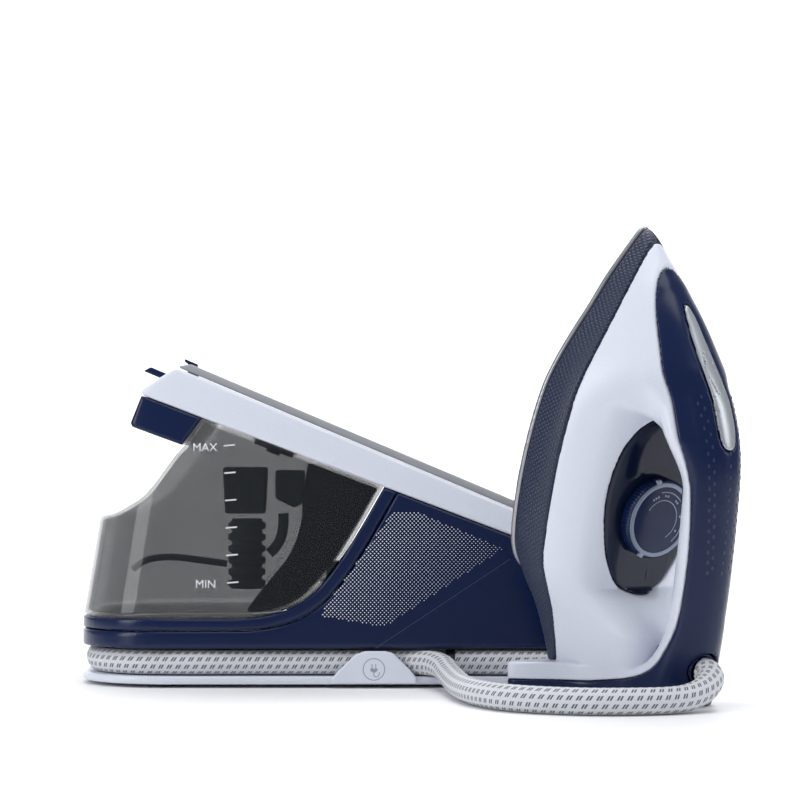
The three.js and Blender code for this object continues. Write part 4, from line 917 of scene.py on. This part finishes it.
def iron():
    forms = Iron(1.05)
    room = forms.room

    # The navy back: the upper half of the grip, the drop on the nose and the flared foot, in one sweep.
    back = both(forms.standing, forms.above, 1.2)
    navy = both(back, 0.1 - forms.up, 1.2)
    inlay = room.plan(both_sides(INLAY_EDGE))
    pocket = np.maximum(np.maximum(inlay - 0.6, -(forms.whole + 1.6)), forms.above)
    hole = np.maximum(np.hypot(room.x - SOCKET[0], room.y) - COLLAR_HOLE, 100 - room.z)
    navy = without(without(navy, pocket, 0.6), hole, 1.6)
    room.solid("handle_back", navy, NAVY, "iron", "handle_shell", "heel_plate")

    # The white body with its foot rim, and the light underside of the grip.
    deck = room.plan(both_sides(DECK_EDGE))
    seam = room.side(np.array([(240, -90), *curve(SEAM_LINE, 80), (-140, -90)]))
    white = both(forms.standing, -forms.above + 0.3, 1.2)
    white = without(white, np.maximum(seam - 0.15, 23.4 - forms.up), 1.2)
    white = without(white, both(deck, np.abs(room.z - 55) - 15, 0.1) - 0.3, 1.2)
    room.solid("body", white, WHITE, "iron", "body_shell", "handle_liner")

    skirt = both(both(forms.whole, seam + 0.15, 1.2), 23.2 - forms.up, 0.6)
    room.solid("skirt_cover", skirt, SKIRT, "iron", "skirt")

    leaf = both(both(forms.body + 0.05, deck, 1.2), 46 - room.z, 0.4)
    room.solid("deck", leaf, DARK_NAVY, "iron", "deck_panel")

    strip = both(both(forms.whole - 0.25, inlay, 1.2), -(forms.whole + 1.4), 0.3)
    room.solid("inlay", both(strip, forms.above, 0.5), SILVER, "iron", "handle_inlay")


def soleplate():
    steam_holes = ((178, 0), (160, 12), (160, -12), (138, 22), (138, -22), (114, 30), (114, -30), (88, 34),
                   (88, -34), (60, 34), (60, -34), (118, 0))
    plate = Room((-9, -64, -1), (221, 64, 5), 0.8, IRON_TURN, IRON_PLACE)
    form = both(plate.plan(both_sides(SOLE_EDGE)), np.abs(plate.z - 2) - 2, 1.6)
    for x, y in steam_holes:
        form = without(form, np.hypot(plate.x - x, plate.y - y) - 2.2, 0.8)
    plate.solid("sole", form, SOLE_METAL, "iron", "soleplate")


def steam_lever():
    lever = Room((62, -10, 76), (101, 10, 96), 0.7, IRON_TURN, IRON_PLACE)
    lower = curve([(97, 80), (90, 82), (78, 86.5), (66, 87.5)], 24)
    upper = curve([(66, 93), (78, 92), (90, 88), (97, 85)], 24)
    form = both(lever.side(np.array([*lower, *upper])), np.abs(lever.y) - 8, 2.5)
    lever.solid("steam_lever", form, DARK_NAVY, "steam_trigger", "trigger")


def grip_dots():
    """Rows of small studs along the grip's back, in its middle and on both sides, painted lighter than the navy as a
    painted highlight.
    """
    line = curve(GRIP_LINE, 120)[::-1]
    shapes = []
    for side, angle, start in ((1, 31, 0), (1, 21.5, 3), (0, 0, 0), (-1, 21.5, 3), (-1, 31, 0)):
        for length in np.arange(33 + start, 106 if side == 0 else 128, 6.1):
            turn = side * math.radians(angle + (length - 38) * 0.217)
            middle = np.interp(length, line[:, 0], line[:, 1])
            slope = np.interp(length + 1, line[:, 0], line[:, 1]) - middle
            back = (to_handle - slope * to_tip) / math.hypot(1, slope)
            along = (to_tip + slope * to_handle) / math.hypot(1, slope)
            out = math.sin(turn) * to_side + math.cos(turn) * back
            over = math.cos(turn) * to_side - math.sin(turn) * back
            spot = (iron_point(length, 0, middle) + GRIP_WIDE * math.sin(turn) * to_side
                    + (GRIP_DEEP - 0.05) * math.cos(turn) * back)
            shapes.append((oval(spot, 1.3 * along, 0.8 * over, 12), 0.2 * out))
    prisms("grip_studs", shapes, PAINTED_HIGHLIGHT_NAVY, "iron")


def dial():
    centre = iron_point(DIAL_X, 0, DECK_HEIGHT + 0.3)
    profile = [(24.4, 0), (25.0, 0.5, 1), (25.4, 1.2, 1), (25.4, 6.2, 1), (25.1, 7.2, 1), (24.6, 7.9), (24.2, 8.0),
               (24.1, 7.7), (24.1, 6.6), (20.7, 6.6), (20.7, 7.9), (20.5, 8.1), (19.5, 8.25), (10.0, 8.7), (0.4, 8.8)]
    turned("dial", profile, centre, to_handle, to_tip, NAVY, "dial", "dial_knob", count=288, knurl=0.55)
    profile = [(20.9, 6.8), (20.9, 8.2), (21.1, 8.5), (21.5, 8.6), (23.2, 8.6), (23.6, 8.5), (23.8, 8.2),
               (23.8, 6.8)]
    hoop("dial_band", profile, centre, 96, BAND, "dial", "dial_ring")
    dial_print(centre)


def dial_print(centre):
    """Dots and arcs on the dial's face, its two tabs, and the mark beside it."""
    shapes = []
    for i, turn in enumerate((-118, -82, -46, -10, 26)):
        a = math.radians(turn)
        for k in range(1 + i // 2):
            b = a + (k - i // 4) * 0.13
            spot = centre + 15.4 * (math.cos(b) * to_tip + math.sin(b) * to_side) + DIAL_FACE * to_handle
            shapes.append((oval(spot, 0.7 * to_tip, 0.7 * to_side, 16), 0.2 * to_handle))
    for radius, start, end in ((12.6, -150, 60), (17.9, -60, 10), (17.9, -140, -95)):
        arc = [centre + radius * (math.cos(a) * to_tip + math.sin(a) * to_side) + 8.5 * to_handle
               for a in np.radians(np.linspace(start, end, 40))]
        tube(f"dial_arc_{radius}_{start}", np.array(arc), 0.34, PRINT_GREY, "dial", sides=8)
    for a in np.radians((15, 155)):
        out = math.cos(a) * to_tip + math.sin(a) * to_side
        over = -math.sin(a) * to_tip + math.cos(a) * to_side
        spot = centre + 24 * out + 6.5 * to_handle
        ring = [spot + b * out + c * over for b, c in ((-1.5, -2.2), (1.9, -1.4), (1.9, 1.4), (-1.5, 2.2))]
        shapes.append((ring, 2.0 * to_handle))
    prisms("dial_dots", shapes, PRINT_GREY, "dial")
    mark = iron_point(11.5, -5, DECK_HEIGHT + 0.2)
    ring = [mark + b * to_tip + c * to_side for b, c in ((-3, -0.35), (3, -0.35), (3, 0.35), (-3, 0.35))]
    prisms("deck_mark", [(ring, 0.1 * to_handle)], BLACK, "iron")


def collar():
    """The collar that the hose goes into."""
    profile = [(8.3, 13.0), (8.3, 3.0), (8.6, 0), (9.5, 0), (9.5, 6), (9.8, 6.8), (10.3, 7.4), (10.5, 8.4),
               (10.5, 12.6), (10.2, 13.8), (9.6, 14.4), (8.9, 14.4), (8.5, 14.0)]
    hoop("collar", profile, iron_point(*SOCKET), 72, NAVY, "iron", "hose_collar")


# ------------------------------------------------------------------ nodes that keep their CAD shape
def finish_nodes():
    """Materials of the pieces inside, whose shapes are complete in the frame."""
    kept = {RUBBER: ["foot_1", "foot_2", "foot_3", "foot_4", "foot_5", "foot_6", "tank_stopper", "tank_socket",
                     "feed_tube", "inner_steam_tube"],
            BLACK: ["hose_gland", "mains_gland", "boiler_thermostat", "water_pump", "tank_spigot",
                    "trigger_switch"],
            STEEL: ["boiler", "heating_element", "thermostat", "thermostat_shaft"],
            CAST: ["steam_chamber", "chamber_lid"], BRASS: ["steam_valve"], BOARD: ["control_board"]}
    for material, names in kept.items():
        for name in names:
            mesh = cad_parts[name].data
            mesh.materials.clear()
            mesh.materials.append(material)


stage()
steam_hose()
tray()
housing()
tank()
rest()
clip()
side_dots()
side_crease()
tank_marks()
tank_inside()
partition()
control_end()
iron()
soleplate()
steam_lever()
dial()
grip_dots()
collar()
finish_nodes()
